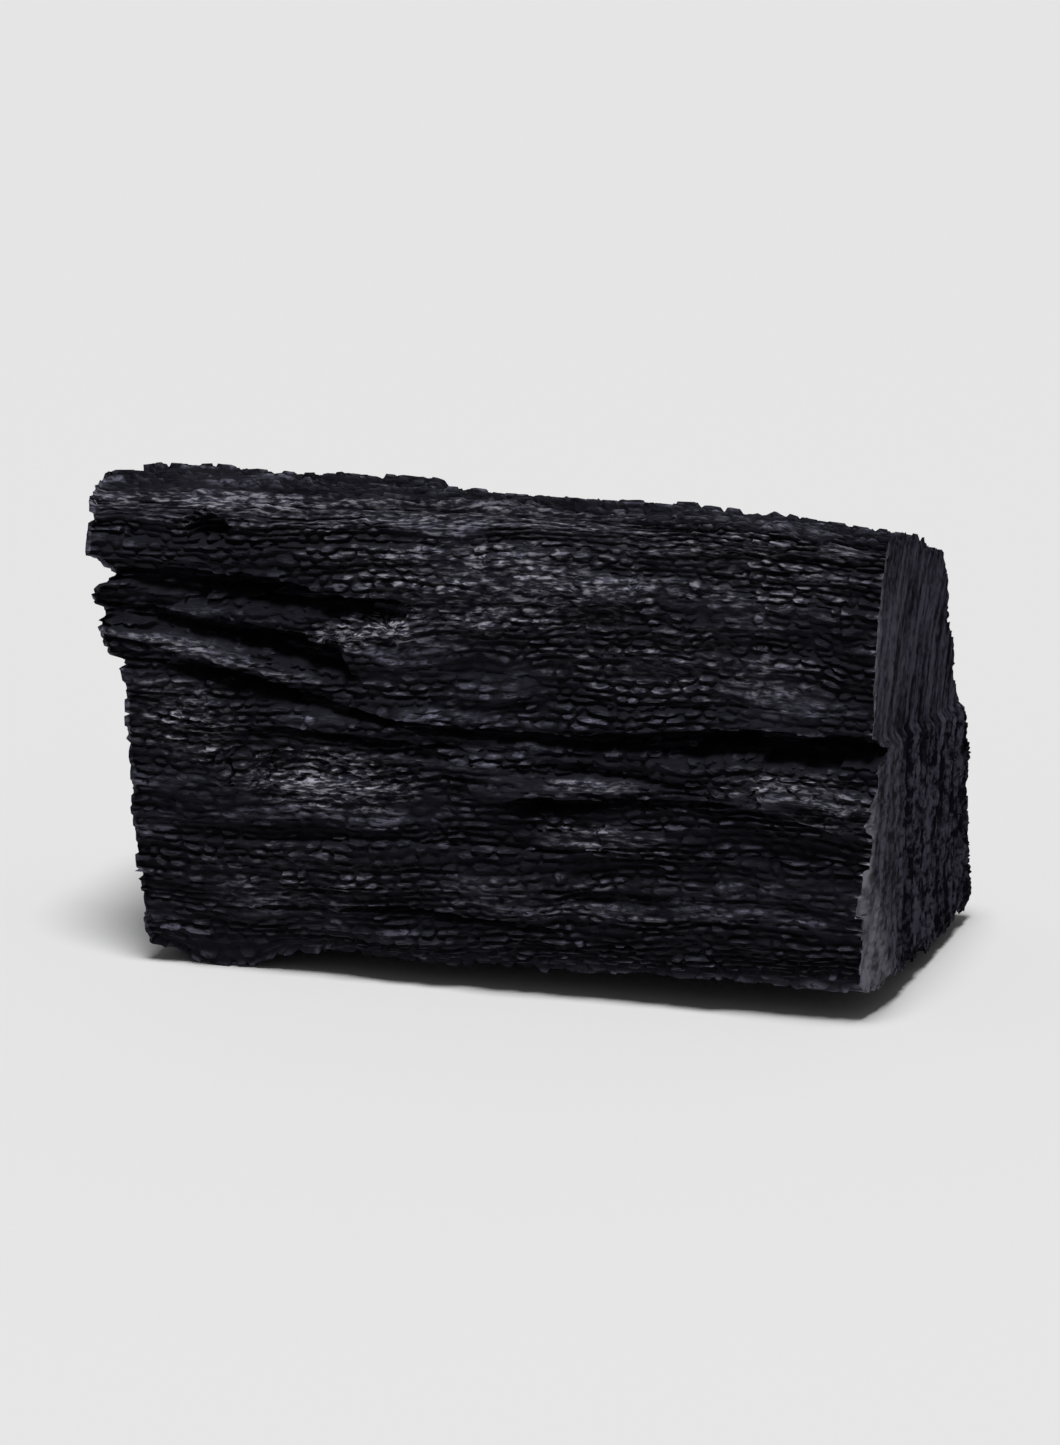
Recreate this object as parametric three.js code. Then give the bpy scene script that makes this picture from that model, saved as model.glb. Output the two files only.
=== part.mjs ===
// One lump of hardwood charcoal: a short billet split from a round of wood and charred whole.
//
// Millimetres, +Z up. The grain runs along X. The split front face looks along -Y, the frayed end is
// at -X and the cleanly broken end at +X. The lump lies on three low spots of its underside.
//
// The shape starts as a finely divided box. Each of its points has three box coordinates from -1 to 1:
// a along the grain, b from front to back and c from bottom to top. A point is first placed on a
// four-cornered section that changes along the grain, then moved by the relief of its face: the splits
// that open along the grain, the slivers that have lifted beside them, and the stepped bundles of fibre.

import * as THREE from "three";
import { mergeVertices } from "three/addons/utils/BufferGeometryUtils.js";

// Driving dimensions, in millimetres.
const LENGTH = 108;
const DEPTH = 58;
const HEIGHT = 66;

// How finely the box is divided: along the grain, from front to back, and from bottom to top.
const CELLS_ALONG = 40;
const CELLS_DEEP = 16;
const CELLS_HIGH = 38;

// The section's corners at the frayed end and at the broken end, each as [y, z].
const FRAYED_SECTION = {
  frontBottom: [4, 1.6],
  frontTop: [6, 63.6],
  backTop: [42, 57],
  backBottom: [52, 1.8],
};
const BROKEN_SECTION = {
  frontBottom: [3, 4],
  frontTop: [5, 64.2],
  backTop: [38, 54],
  backBottom: [57, 2.2],
};
const FRONT_BULGE = 3.2; // how far the front swells out between its long edges
const BACK_BULGE = 2.2;
const TOP_CROWN = 1.6; // how far the top swells from front to back, and from end to end
const TOP_BOW = 2;
// The long edges are worn: the share of the section that they lose, above at each end and below.
const CORNER_ROUNDING = { frayed: 0.09, broken: 0.06, under: 0.05 };
const CORNER_SHARPNESS = 9;

// The fibres lie calm along the upper front edge, as far as that place along the grain.
const RIM = { from: 0.84, to: 0.97, runFrom: 66, runTo: 90, calm: 0.75 };

// The heart of the tree, seen on the section. Growth rings are circles round it.
const PITH = { y: 84, z: 20 };
const RING_RADIUS = 80; // radius at which the distance along a ring is measured

// The fibres wander off a straight line: how far, and the distances over which they do, as radians.
const RING_DRIFT = { far: 1.1, x: 19, z: 31 }; // in and out
const LONG_DRIFT = { far: 1.5, x: 23, start: 0.8 }; // round the ring
const SHORT_DRIFT = { far: 0.5, x: 8.7 };

// Bundles of fibre, coarse and fine: length along the grain, width across it, and step in height.
const SLABS = { long: 44, wide: 13, step: 2.6, seed: 3 };
const BUNDLES = { long: 27, wide: 6.1, step: 1.3, seed: 11 };
const STRANDS = { long: 13, wide: 3.1, step: 0.8, seed: 23 };
const STEP_RUN = 1.4; // length of the slope where one piece of a bundle gives way to the next
const FRONT_SLAB_SHARE = 0.25; // the front is the flattest face, and slabs stand out towards the back

// How much of a split's half width its wall takes. The rest is its floor.
const WALL_SHARE = 0.6;

// Splits in the front face. Each point is [x, z, reach above, reach below, depth].
const MAIN_SPLIT = [
  [8, 41.6, 0.5, 0.5, 0.5],
  [14, 40.8, 1.0, 1.6, 5],
  [22, 39.6, 1.0, 1.8, 5.5],
  [30, 37.6, 0.9, 1.2, 4],
  [40, 35.9, 0.7, 0.9, 2.6],
  [52, 35.2, 0.7, 1.3, 3.2],
  [66, 35.2, 0.8, 1.5, 3.2],
  [76, 36.4, 0.9, 2.6, 5],
  [85, 37.6, 0.9, 3.8, 7],
  [97, 38, 0.9, 4.4, 8],
  [110, 38, 0.9, 4.2, 7.5],
];
const UPPER_HOLLOW = [
  [-2, 52.4, 1.0, 1.0, 1.2],
  [8, 52.4, 1.6, 1.6, 3],
  [15, 52.2, 2.2, 2.6, 6],
  [26, 51.8, 1.9, 2.6, 6.4],
  [33, 51.2, 0.9, 2.4, 5.2],
  [42, 50.8, 0.8, 3.4, 4.2],
  [46, 50.6, 0.4, 2.0, 0.6],
];
const LOWER_HOLLOW = [
  [3, 48, 0.8, 0.8, 1],
  [12, 47.4, 1.3, 1.3, 3],
  [20, 46, 1.9, 2.2, 5.8],
  [28, 44.9, 2.3, 2.4, 6.8],
  [34.6, 43.6, 2.6, 3.0, 6.8],
  [36.4, 43.4, 2.6, 3.0, 0],
];
const SHORT_SPLITS = [
  [[18, 33.2, 0.5, 0.5, 0.6], [26, 33.8, 0.7, 0.7, 1.7], [37, 33.2, 0.7, 0.9, 2.1],
    [49, 32.8, 0.5, 0.5, 0.6]],
  [[55, 26, 0.6, 0.6, 0.8], [58.5, 26.1, 1.3, 1.4, 4.6], [64, 26.5, 1.0, 1.3, 4.2], [72, 27.7, 0.7, 0.7, 2],
    [89, 29, 0.5, 0.5, 0.8]],
  [[60, 31.4, 0.5, 0.5, 0.6], [66, 31.7, 0.7, 0.7, 1.9], [84, 30.2, 0.5, 0.5, 0.8]],
  [[84, 57.4, 0.4, 0.4, 0.5], [90, 58.6, 0.5, 0.6, 1.3], [97, 59, 0.4, 0.4, 0.6]],
  [[20, 9, 0.5, 0.5, 0.8], [42, 10.4, 0.7, 0.8, 2], [66, 9.2, 0.5, 0.5, 0.8]],
];
const HOLE = { x: 19, z: 59.4, halfLong: 3.4, halfWide: 2.2, depth: 4.2 }; // where a side knot fell out

// Slivers of the front that have lifted from it. Each point is [x, z, reach above, reach below, height].
const LIFTED_SLIVERS = [
  [[-6, 62, 4, 3.5, 0.7], [20, 61.8, 4.4, 3.4, 0.9], [38, 62.6, 3.4, 2.4, 0.8], [47, 63.6, 2, 1.2, 0]],
  [[0, 45.6, 0.7, 0.8, 0.8], [14, 44, 1.5, 1.6, 1.3], [28, 41, 1.3, 1.4, 1.3], [36, 38.9, 0.9, 0.9, 0]],
  [[30, 46, 0.7, 0.9, 0.4], [33, 46.2, 1.2, 1.4, 1.5], [44, 47.6, 1.1, 1.3, 1.2], [48, 48.2, 0.6, 0.7, 0]],
  [[16, 27.6, 3.4, 3.2, 0.8], [19, 27.8, 3.6, 3.4, 1.1], [38, 28.6, 2.6, 3, 1.0], [46, 29, 1.6, 1.6, 0]],
  [[28, 31, 0.9, 0.9, 0], [34, 31.2, 1.5, 1.5, 0.8], [54, 30.2, 1.6, 1.5, 0.8], [64, 29.8, 0.9, 0.9, 0]],
  [[60, 29.4, 1, 0.9, 0], [64, 29.5, 1.4, 1.2, 1.1], [73, 30, 1.3, 1, 1.0], [79, 30.4, 0.8, 0.7, 0]],
  [[56, 21.6, 1, 1.4, 0], [62, 22.2, 2.4, 2.3, 0.9], [78, 23.6, 2.2, 2, 0.9], [86, 24.4, 1.2, 1.2, 0]],
  [[84, 31.6, 0.7, 1.6, 0.6], [87, 31.9, 1.2, 2.2, 1.8], [101, 31.3, 1.2, 2.2, 1.8], [107, 31, 1, 2, 1.2]],
  [[94, 27.6, 0.7, 1, 0], [98, 27.9, 1.2, 1.5, 1.7], [110, 27.2, 1.2, 1.5, 1.7]],
  [[50, 15.4, 0.8, 0.8, 0], [56, 15.8, 1.3, 1.4, 0.8], [84, 16.8, 1.3, 1.4, 0.8], [94, 17, 0.8, 0.8, 0]],
];

// The other three long faces split by a rule: how many splits each has, and the seed of the draw.
const TOP_RULE = { count: 3, seed: 41 };
const BACK_RULE = { count: 5, seed: 57 };
const BOTTOM_RULE = { count: 4, seed: 73 };

// What a split made by that rule draws from: least and most, in millimetres.
const DRAWN_START = [-4, 50];
const DRAWN_LENGTH = [36, 62];
const DRAWN_DRIFT = [-4, 4]; // how far it climbs across the face, along its whole length
const DRAWN_REACH = [1.1, 1.9];
const DRAWN_DEPTH = [2.5, 5];
const LINE_THROW = 0.4; // how far its line may lie from an even spacing, as a share of that spacing
const WIDEST_FROM = 0.35; // where it is widest, as shares of its length
const WIDEST_TO = 0.7;
const FAR_DEPTH = 0.8; // its depth at the second of those places, as a share of the first

// The frayed end: how far in its fibres stop, by height up the front, each as [z, x].
const FRAYED_X = 4; // middle of its depth
const FRAYED_OUTLINE = [
  [0, 8.4], [14, 7.4], [37, 6.6], [40.5, 5.8], [42, 3.6], [47, 2.4], [53.5, 1], [59, 0.9], [62, 0], [64, 0],
  [66, 2],
];
const FRAY = { wide: 4.2, deep: 6.7, clean: 1.6, torn: 6, tornFrom: 40, tornTo: 48, edge: 8, seed: 91 };
const FRONT_FRAY = { wide: 2.1, clean: 0.5, torn: 1.8, notch: 0.6, notchX: 11, seed: 97 }; // front edge

// The broken end: two flat breaks, one above and one below the main split, and a bevel at the low front.
const BREAK_X = 106.4;
const BREAK_STEP = { drop: 0.9, frontZ: 38, backZ: 30, soft: 0.8 }; // the upper break stands back by the drop
const BREAK_LEAN = 0.022; // the break leans back by this much for each millimetre of drop
const BEVEL = { y: 17, z: 26, slope: 0.22 };
const CHAMFER = { wide: 1.2, fromZ: 24, toZ: 34 }; // along its front edge, fading out at those heights

// Low spots that the lump rests on: [x, y]. Each is sunk through the floor and then cut flat on it.
const FEET = [[18, 10.5], [25, 45], [96, 24]];
const FOOT_RADIUS = 7;
const FOOT_DROP = 5.4;

// Where a face shares the relief of its neighbour, near a long edge.
const EDGE_BLEND = 10;

// A repeatable draw from 0 to 1 for a whole-numbered cell.
function draw(i, j, k) {
  const wave = Math.sin(i * 127.1 + j * 311.7 + k * 74.7) * 43758.5453;
  return wave - Math.floor(wave);
}

function mix(from, to, share) {
  return from + (to - from) * share;
}

function ease(from, to, value) {
  const t = Math.min(1, Math.max(0, (value - from) / (to - from)));
  return t * t * (3 - 2 * t);
}

// Reads a list of rows at a value of their first column. The other columns are mixed between rows.
function along(rows, value) {
  if (value <= rows[0][0]) return rows[0].slice(1);
  for (let i = 1; i < rows.length; i++) {
    if (value > rows[i][0]) continue;
    const share = (value - rows[i - 1][0]) / (rows[i][0] - rows[i - 1][0]);
    return rows[i].slice(1).map((end, n) => mix(rows[i - 1][n + 1], end, share));
  }
  return rows[rows.length - 1].slice(1);
}

// Depth of one split at a point, or height of one lifted sliver: steep at its two sides and flat between.
function pathDepth(path, x, across) {
  if (x <= path[0][0] || x >= path[path.length - 1][0]) return 0;
  const [line, above, below, depth] = along(path, x);
  const reach = across > line ? above : below;
  return depth * ease(0, WALL_SHARE, 1 - Math.abs(across - line) / reach);
}

// The splits of a face that has none placed by hand, spread across a span of that many millimetres.
// Each opens quickly, narrows slowly and closes.
function ruledSplits({ count, seed }, span) {
  const paths = [];
  for (let i = 0; i < count; i++) {
    const from = mix(...DRAWN_START, draw(i, seed, 1));
    const length = mix(...DRAWN_LENGTH, draw(i, seed, 2));
    const line = (span * (i + 0.5 + LINE_THROW * (draw(i, seed, 3) - 0.5))) / count;
    const drift = mix(...DRAWN_DRIFT, draw(i, seed, 4));
    const reach = mix(...DRAWN_REACH, draw(i, seed, 5));
    const depth = mix(...DRAWN_DEPTH, draw(i, seed, 6));
    paths.push([
      [from, line, reach / 2, reach / 2, 0],
      [from + length * WIDEST_FROM, line + drift * WIDEST_FROM, reach, reach, depth],
      [from + length * WIDEST_TO, line + drift * WIDEST_TO, reach, reach, depth * FAR_DEPTH],
      [from + length, line + drift, reach / 2, reach / 2, 0],
    ]);
  }
  return paths;
}

const TOP_SPLITS = ruledSplits(TOP_RULE, BROKEN_SECTION.backTop[0]);
const BACK_SPLITS = ruledSplits(BACK_RULE, BROKEN_SECTION.backTop[1]);
const BOTTOM_SPLITS = ruledSplits(BOTTOM_RULE, BROKEN_SECTION.backBottom[0]);

function deepest(paths, x, across) {
  return Math.max(...paths.map((path) => pathDepth(path, x, across)));
}

// Place of a point among the growth rings: distance from the pith, and distance round the ring.
function grainPlace(x, y, z) {
  const ringDrift = RING_DRIFT.far * Math.sin(x / RING_DRIFT.x + z / RING_DRIFT.z);
  const longDrift = LONG_DRIFT.far * Math.sin(x / LONG_DRIFT.x + LONG_DRIFT.start);
  const shortDrift = SHORT_DRIFT.far * Math.sin(x / SHORT_DRIFT.x);
  const ring = Math.hypot(y - PITH.y, z - PITH.z) + ringDrift;
  const round = RING_RADIUS * Math.atan2(z - PITH.z, PITH.y - y) + longDrift + shortDrift;
  return { ring, round };
}

// Height of the bundle of fibre at a point, from minus half a step to plus half a step.
function bundleStep({ long, wide, step, seed }, x, { ring, round }) {
  const row = Math.floor(round / wide);
  const layer = Math.floor(ring / wide);
  const place = x / long + draw(row, layer, seed);
  const piece = Math.floor(place);
  const [height, next] = [piece, piece + 1].map((n) => draw(row + layer * 17, n, seed + 1));
  return step * (mix(height, next, ease(1 - STEP_RUN / long, 1, place - piece)) - 0.5);
}

// Relief of the front face, outwards.
function frontRelief(x, z) {
  const hole = Math.hypot((x - HOLE.x) / HOLE.halfLong, (z - HOLE.z) / HOLE.halfWide);
  const holeDepth = HOLE.depth * ease(0, WALL_SHARE, 1 - hole);
  const splits = deepest([MAIN_SPLIT, UPPER_HOLLOW, LOWER_HOLLOW, ...SHORT_SPLITS], x, z);
  return deepest(LIFTED_SLIVERS, x, z) - Math.max(holeDepth, splits);
}

// How far a point of the frayed end lies from the tip of its longest splinter.
function frayedX(y, z) {
  const [outline] = along(FRAYED_OUTLINE, z);
  const { ring, round } = grainPlace(0, y, z);
  const row = Math.floor(round / FRAY.wide);
  const layer = Math.floor(ring / FRAY.deep + draw(row, 0, FRAY.seed));
  const torn = ease(FRAY.tornFrom, FRAY.tornTo, z);
  const inward = ease(0, FRAY.edge, y - FRAYED_SECTION.frontTop[0]);
  const deepFray = mix(FRAY.clean, FRAY.torn, torn) * draw(row, layer, FRAY.seed);
  const notch = FRONT_FRAY.notch * deepest([MAIN_SPLIT, UPPER_HOLLOW, LOWER_HOLLOW], FRONT_FRAY.notchX, z);
  const frontRow = Math.floor(round / FRONT_FRAY.wide);
  const frontFray = mix(FRONT_FRAY.clean, FRONT_FRAY.torn, torn) * draw(frontRow, 0, FRONT_FRAY.seed);
  return outline + mix(frontFray + notch, deepFray, inward);
}

// How far back the front lies, at a share of the section's height.
function frontY({ frontBottom, frontTop }, up) {
  return mix(frontBottom[0], frontTop[0], up) - FRONT_BULGE * 4 * up * (1 - up);
}

// How far a point of the broken end lies from the same place.
function brokenX(y, z) {
  const line = mix(BREAK_STEP.frontZ, BREAK_STEP.backZ, y / DEPTH);
  const lower = 1 - ease(line - BREAK_STEP.soft, line + BREAK_STEP.soft, z);
  const bevel = Math.max(0, 1 - y / BEVEL.y - z / BEVEL.z) * BEVEL.y;
  const chamfer = Math.max(0, CHAMFER.wide - (y - frontY(BROKEN_SECTION, z / HEIGHT)));
  const chamferShare = 1 - ease(CHAMFER.fromZ, CHAMFER.toZ, z);
  const face = BREAK_X + BREAK_STEP.drop * lower + BREAK_LEAN * (z - HEIGHT);
  return face - BEVEL.slope * bevel - Math.min(CHAMFER.wide, chamfer) * chamferShare;
}

// The main split's height as a share of the section's, so that a row of points can follow it.
function splitShare(x) {
  const [line] = along(MAIN_SPLIT, x);
  return line / HEIGHT;
}
const SPLIT_ROW = 0.56;
const ROW_CROWDING = 1.35; // above 1, rows crowd towards the split

function rowShare(c, x) {
  const v = (c + 1) / 2;
  const split = splitShare(x);
  if (v < SPLIT_ROW) return split * (1 - Math.pow(1 - v / SPLIT_ROW, ROW_CROWDING));
  return split + (1 - split) * Math.pow((v - SPLIT_ROW) / (1 - SPLIT_ROW), ROW_CROWDING);
}

// A point of the plain section at a place along the grain, before any relief.
function sectionPoint(x, b, c) {
  const share = x / LENGTH;
  const corner = (name) => FRAYED_SECTION[name].map((v, n) => mix(v, BROKEN_SECTION[name][n], share));
  const up = rowShare(c, x);
  const back = (b + 1) / 2;
  const front = [0, 1].map((n) => mix(corner("frontBottom")[n], corner("frontTop")[n], up));
  const rear = [0, 1].map((n) => mix(corner("backBottom")[n], corner("backTop")[n], up));
  const swell = 4 * up * (1 - up);
  const crown = TOP_CROWN * 4 * back * (1 - back) * Math.max(0, c);
  const bow = TOP_BOW * 4 * share * (1 - share) * up * up;
  let y = mix(front[0] - FRONT_BULGE * swell, rear[0] + BACK_BULGE * swell, back);
  let z = mix(front[1], rear[1], back) + crown + bow;
  const rounding = c > 0 ? mix(CORNER_ROUNDING.frayed, CORNER_ROUNDING.broken, share) : CORNER_ROUNDING.under;
  const loss = rounding * Math.pow(Math.abs(b * c), CORNER_SHARPNESS);
  y = mix(y, DEPTH / 2, loss);
  z = mix(z, HEIGHT / 2, loss);
  return [y, z];
}

// The relief of the long faces as a move in y and z. Near a long edge its two faces share it.
function sideMove(x, b, c) {
  const [y, z] = sectionPoint(x, b, c);
  const place = grainPlace(x, y, z);
  const onRim = ease(RIM.from, RIM.to, Math.max(0, -b) * Math.max(0, c));
  const calm = RIM.calm * onRim * (1 - ease(RIM.runFrom, RIM.runTo, x));
  const fibres = (bundleStep(BUNDLES, x, place) + bundleStep(STRANDS, x, place)) * (1 - calm);
  const slab = bundleStep(SLABS, x, place) * mix(FRONT_SLAB_SHARE, 1, (b + 1) / 2);
  const sideways = Math.pow(Math.abs(b), EDGE_BLEND);
  const upright = Math.pow(Math.abs(c), EDGE_BLEND);
  const acrossShare = sideways / (sideways + upright || 1);
  const moveOut = slab + fibres + (b < 0 ? frontRelief(x, z) : -deepest(BACK_SPLITS, x, z));
  const moveUp = slab + fibres - deepest(c > 0 ? TOP_SPLITS : BOTTOM_SPLITS, x, y);
  return [Math.sign(b) * moveOut * acrossShare, Math.sign(c) * moveUp * (1 - acrossShare)];
}

// A point of the lump for its box coordinates. On the two ends the relief of the long faces dies away
// towards the middle.
function lumpPoint(a, b, c) {
  const outermost = Math.max(Math.abs(b), Math.abs(c)) || 1;
  const nominalX = mix(FRAYED_X, BREAK_X, (a + 1) / 2);
  const [baseY, baseZ] = sectionPoint(nominalX, b, c);
  const [moveY, moveZ] = sideMove(nominalX, b / outermost, c / outermost);
  const y = baseY + moveY * outermost ** 2;
  const x = mix(frayedX(y, baseZ), brokenX(y, baseZ), (a + 1) / 2);
  let z = baseZ + moveZ * outermost ** 2;
  for (const [footX, footY] of FEET) {
    const away = Math.hypot(x - footX, y - footY) / FOOT_RADIUS;
    z -= FOOT_DROP * Math.exp(-away * away) * Math.pow(Math.max(0, -c), EDGE_BLEND);
  }
  return [x, y, Math.max(0, z)];
}

// Turns the diagonal of each four-sided cell the shorter way, so that it follows ledges and splits.
function turnDiagonals(geometry) {
  const points = geometry.getAttribute("position");
  const corners = [0, 1, 2, 3].map(() => new THREE.Vector3());
  const index = geometry.getIndex();
  for (let i = 0; i < index.count; i += 6) {
    const [p, q, r, s] = [index.getX(i), index.getX(i + 1), index.getX(i + 4), index.getX(i + 2)];
    [p, q, r, s].forEach((point, n) => corners[n].fromBufferAttribute(points, point));
    if (corners[0].distanceTo(corners[2]) > corners[1].distanceTo(corners[3])) continue;
    [p, q, r, p, r, s].forEach((point, n) => index.setX(i + n, point));
  }
}

// Moves and stretches the geometry a little, so that it just fills its box and stands at its centre.
function fitToSize(geometry) {
  geometry.computeBoundingBox();
  const low = geometry.boundingBox.min;
  const size = geometry.boundingBox.getSize(new THREE.Vector3());
  geometry.translate(-low.x - size.x / 2, -low.y - size.y / 2, -low.z);
  geometry.scale(LENGTH / size.x, DEPTH / size.y, HEIGHT / size.z);
}

function makeLump() {
  const box = new THREE.BoxGeometry(2, 2, 2, CELLS_ALONG, CELLS_DEEP, CELLS_HIGH);
  box.deleteAttribute("normal");
  box.deleteAttribute("uv");
  const geometry = mergeVertices(box, 1e-4);
  const points = geometry.getAttribute("position");
  for (let i = 0; i < points.count; i++) {
    points.setXYZ(i, ...lumpPoint(points.getX(i), points.getY(i), points.getZ(i)));
  }
  turnDiagonals(geometry);
  fitToSize(geometry);
  geometry.computeVertexNormals();
  const charcoal = new THREE.MeshStandardMaterial({ color: 0x1d1c22, roughness: 0.7, metalness: 0 });
  const lump = new THREE.Mesh(geometry, charcoal);
  lump.name = "charcoal_lump";
  return lump;
}

const model = new THREE.Group();
model.name = "charcoal";
model.add(makeLump());

export default model;
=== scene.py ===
# %% [markdown]
# # A lump of hardwood charcoal
#
# One billet of split wood, charred whole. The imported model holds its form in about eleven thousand
# faces. This lesson makes the surface that the eye meets: the same form on a far finer mesh, the rows
# of charred fibre that cover it, and its black, faintly silky finish.

# %% Load the frame
import functools
import math

import bpy
import numpy as np
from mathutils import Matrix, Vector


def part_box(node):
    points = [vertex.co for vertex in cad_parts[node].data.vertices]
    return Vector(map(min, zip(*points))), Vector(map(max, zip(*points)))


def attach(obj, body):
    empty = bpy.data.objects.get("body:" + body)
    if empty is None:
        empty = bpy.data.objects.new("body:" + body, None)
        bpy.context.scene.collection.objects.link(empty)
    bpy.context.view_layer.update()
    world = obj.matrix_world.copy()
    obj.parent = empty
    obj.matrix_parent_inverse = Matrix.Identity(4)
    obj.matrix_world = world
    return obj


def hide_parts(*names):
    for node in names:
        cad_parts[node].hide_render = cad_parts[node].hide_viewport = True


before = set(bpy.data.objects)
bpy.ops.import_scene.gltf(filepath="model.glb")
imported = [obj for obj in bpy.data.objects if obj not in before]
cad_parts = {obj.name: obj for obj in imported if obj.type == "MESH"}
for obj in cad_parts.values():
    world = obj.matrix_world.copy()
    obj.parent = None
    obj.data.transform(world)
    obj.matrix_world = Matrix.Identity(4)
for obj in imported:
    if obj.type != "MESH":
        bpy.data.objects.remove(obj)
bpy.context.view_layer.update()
LUMP_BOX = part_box("charcoal_lump")
MM = 0.001
print("the solid's box, in metres:", LUMP_BOX)

# %% [markdown]
# ## The camera
#
# The photograph looks down on the lump by about 15 degrees, with the broken end turned a little
# towards the camera. The camera stood well back, so the lens is long. A short one would bring the near
# edges forward and hide the broken end.

# %% Place the camera
AZIMUTH = math.radians(17)
ELEVATION = math.radians(15)
FRAME_SHAPE = (1060, 1445)
FILM_HEIGHT = 36.0  # mm; the frame is upright, so its height takes the whole film
LENS = 190.0  # mm
LUMP_SHARE = 0.86  # of the frame's width
LOOK_HEIGHT = 0.46  # of the lump's height
NEAREST = 0.01  # m

lump_low = np.array(LUMP_BOX[0])
lump_high = np.array(LUMP_BOX[1])
lump_size = lump_high - lump_low
seen_width = lump_size[0] * math.cos(AZIMUTH) + lump_size[1] * math.sin(AZIMUTH)
frame_height = seen_width / LUMP_SHARE * FRAME_SHAPE[1] / FRAME_SHAPE[0]
distance = frame_height * LENS / FILM_HEIGHT
target = (lump_low + lump_high) / 2
target[2] = lump_low[2] + lump_size[2] * LOOK_HEIGHT
towards_camera = np.array([
    math.sin(AZIMUTH) * math.cos(ELEVATION),
    -math.cos(AZIMUTH) * math.cos(ELEVATION),
    math.sin(ELEVATION),
])


def add_object(name, data):
    """Makes an object of this data and puts it in the scene."""
    thing = bpy.data.objects.new(name, data)
    bpy.context.scene.collection.objects.link(thing)
    return thing


camera_data = bpy.data.cameras.new("camera")
camera_data.lens = LENS
camera_data.sensor_width = FILM_HEIGHT
camera_data.clip_start = NEAREST
camera = add_object("camera", camera_data)
camera.location = target + distance * towards_camera
camera.rotation_euler = (math.pi / 2 - ELEVATION, 0, AZIMUTH)
bpy.context.scene.camera = camera
print(f"the camera stands {distance:.2f} m away")

# %% [markdown]
# ## The form of the lump
#
# A charred billet keeps what the axe and the tree gave it: four long faces along the grain, one end
# torn and one snapped clean. Its form is a set of rules, the same that the solid follows. A point of a
# finely divided box is placed on a four-cornered section, then moved by the relief of its face. Sizes
# here are in millimetres. x runs along the grain from the torn end, y from front to back and z up.

# %% Sizes of the form
LENGTH, DEPTH, HEIGHT = lump_size / MM

# The section's corners at the torn end and at the broken end, each as y and z.
FRAYED_SECTION = {
    "front_bottom": (4, 1.6),
    "front_top": (6, 63.6),
    "back_top": (42, 57),
    "back_bottom": (52, 1.8),
}
BROKEN_SECTION = {
    "front_bottom": (3, 4),
    "front_top": (5, 64.2),
    "back_top": (38, 54),
    "back_bottom": (57, 2.2),
}
FRONT_BULGE = 3.2
BACK_BULGE = 2.2
TOP_CROWN = 1.6
TOP_BOW = 2
UPPER_ROUNDING = (0.09, 0.06)  # at the torn end and at the broken end
UNDER_ROUNDING = 0.05
CORNER_SHARPNESS = 9
EDGE_BLEND = 10

PITH_Y, PITH_Z = 84, 20  # the heart of the tree, behind the back of the lump
RING_RADIUS = 80

# The fibres wander off a straight line: how far, and the distances over which they do, as radians.
RING_DRIFT, RING_DRIFT_X, RING_DRIFT_Z = 1.1, 19, 31
LONG_DRIFT, LONG_DRIFT_X, LONG_DRIFT_START = 1.5, 23, 0.8
SHORT_DRIFT, SHORT_DRIFT_X = 0.5, 8.7

# Bundles of fibre: length along the grain, width across it, step in height, and seed.
SLABS = (44, 13, 2.6, 3)
BUNDLES = (27, 6.1, 1.3, 11)
STRANDS = (13, 3.1, 0.8, 23)
STEP_RUN = 1.4
FRONT_SLAB_SHARE = 0.25

FRAYED_X = 4
BREAK_X = 106.4
print(f"a billet {LENGTH:.0f} mm long, {DEPTH:.0f} mm deep and {HEIGHT:.0f} mm high")

# %% [markdown]
# Splits are paths on a face. Each row of a path gives the place along the grain, the height up the
# face, how far the split opens above and below its line, and its depth. Slivers that have lifted are
# the same kind of path, with a height for the depth. The front's are listed one by one. The other faces
# get their splits from a rule with a fixed seed.

# %% Splits and lifted slivers of the front
WALL_SHARE = 0.6

MAIN_SPLIT = [
    (8, 41.6, 0.5, 0.5, 0.5), (14, 40.8, 1.0, 1.6, 5), (22, 39.6, 1.0, 1.8, 5.5), (30, 37.6, 0.9, 1.2, 4),
    (40, 35.9, 0.7, 0.9, 2.6), (52, 35.2, 0.7, 1.3, 3.2), (66, 35.2, 0.8, 1.5, 3.2),
    (76, 36.4, 0.9, 2.6, 5), (85, 37.6, 0.9, 3.8, 7), (97, 38, 0.9, 4.4, 8), (110, 38, 0.9, 4.2, 7.5),
]
UPPER_HOLLOW = [
    (-2, 52.4, 1.0, 1.0, 1.2), (8, 52.4, 1.6, 1.6, 3), (15, 52.2, 2.2, 2.6, 6), (26, 51.8, 1.9, 2.6, 6.4),
    (33, 51.2, 0.9, 2.4, 5.2), (42, 50.8, 0.8, 3.4, 4.2), (46, 50.6, 0.4, 2.0, 0.6),
]
LOWER_HOLLOW = [
    (3, 48, 0.8, 0.8, 1), (12, 47.4, 1.3, 1.3, 3), (20, 46, 1.9, 2.2, 5.8), (28, 44.9, 2.3, 2.4, 6.8),
    (34.6, 43.6, 2.6, 3.0, 6.8), (36.4, 43.4, 2.6, 3.0, 0),
]
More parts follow.
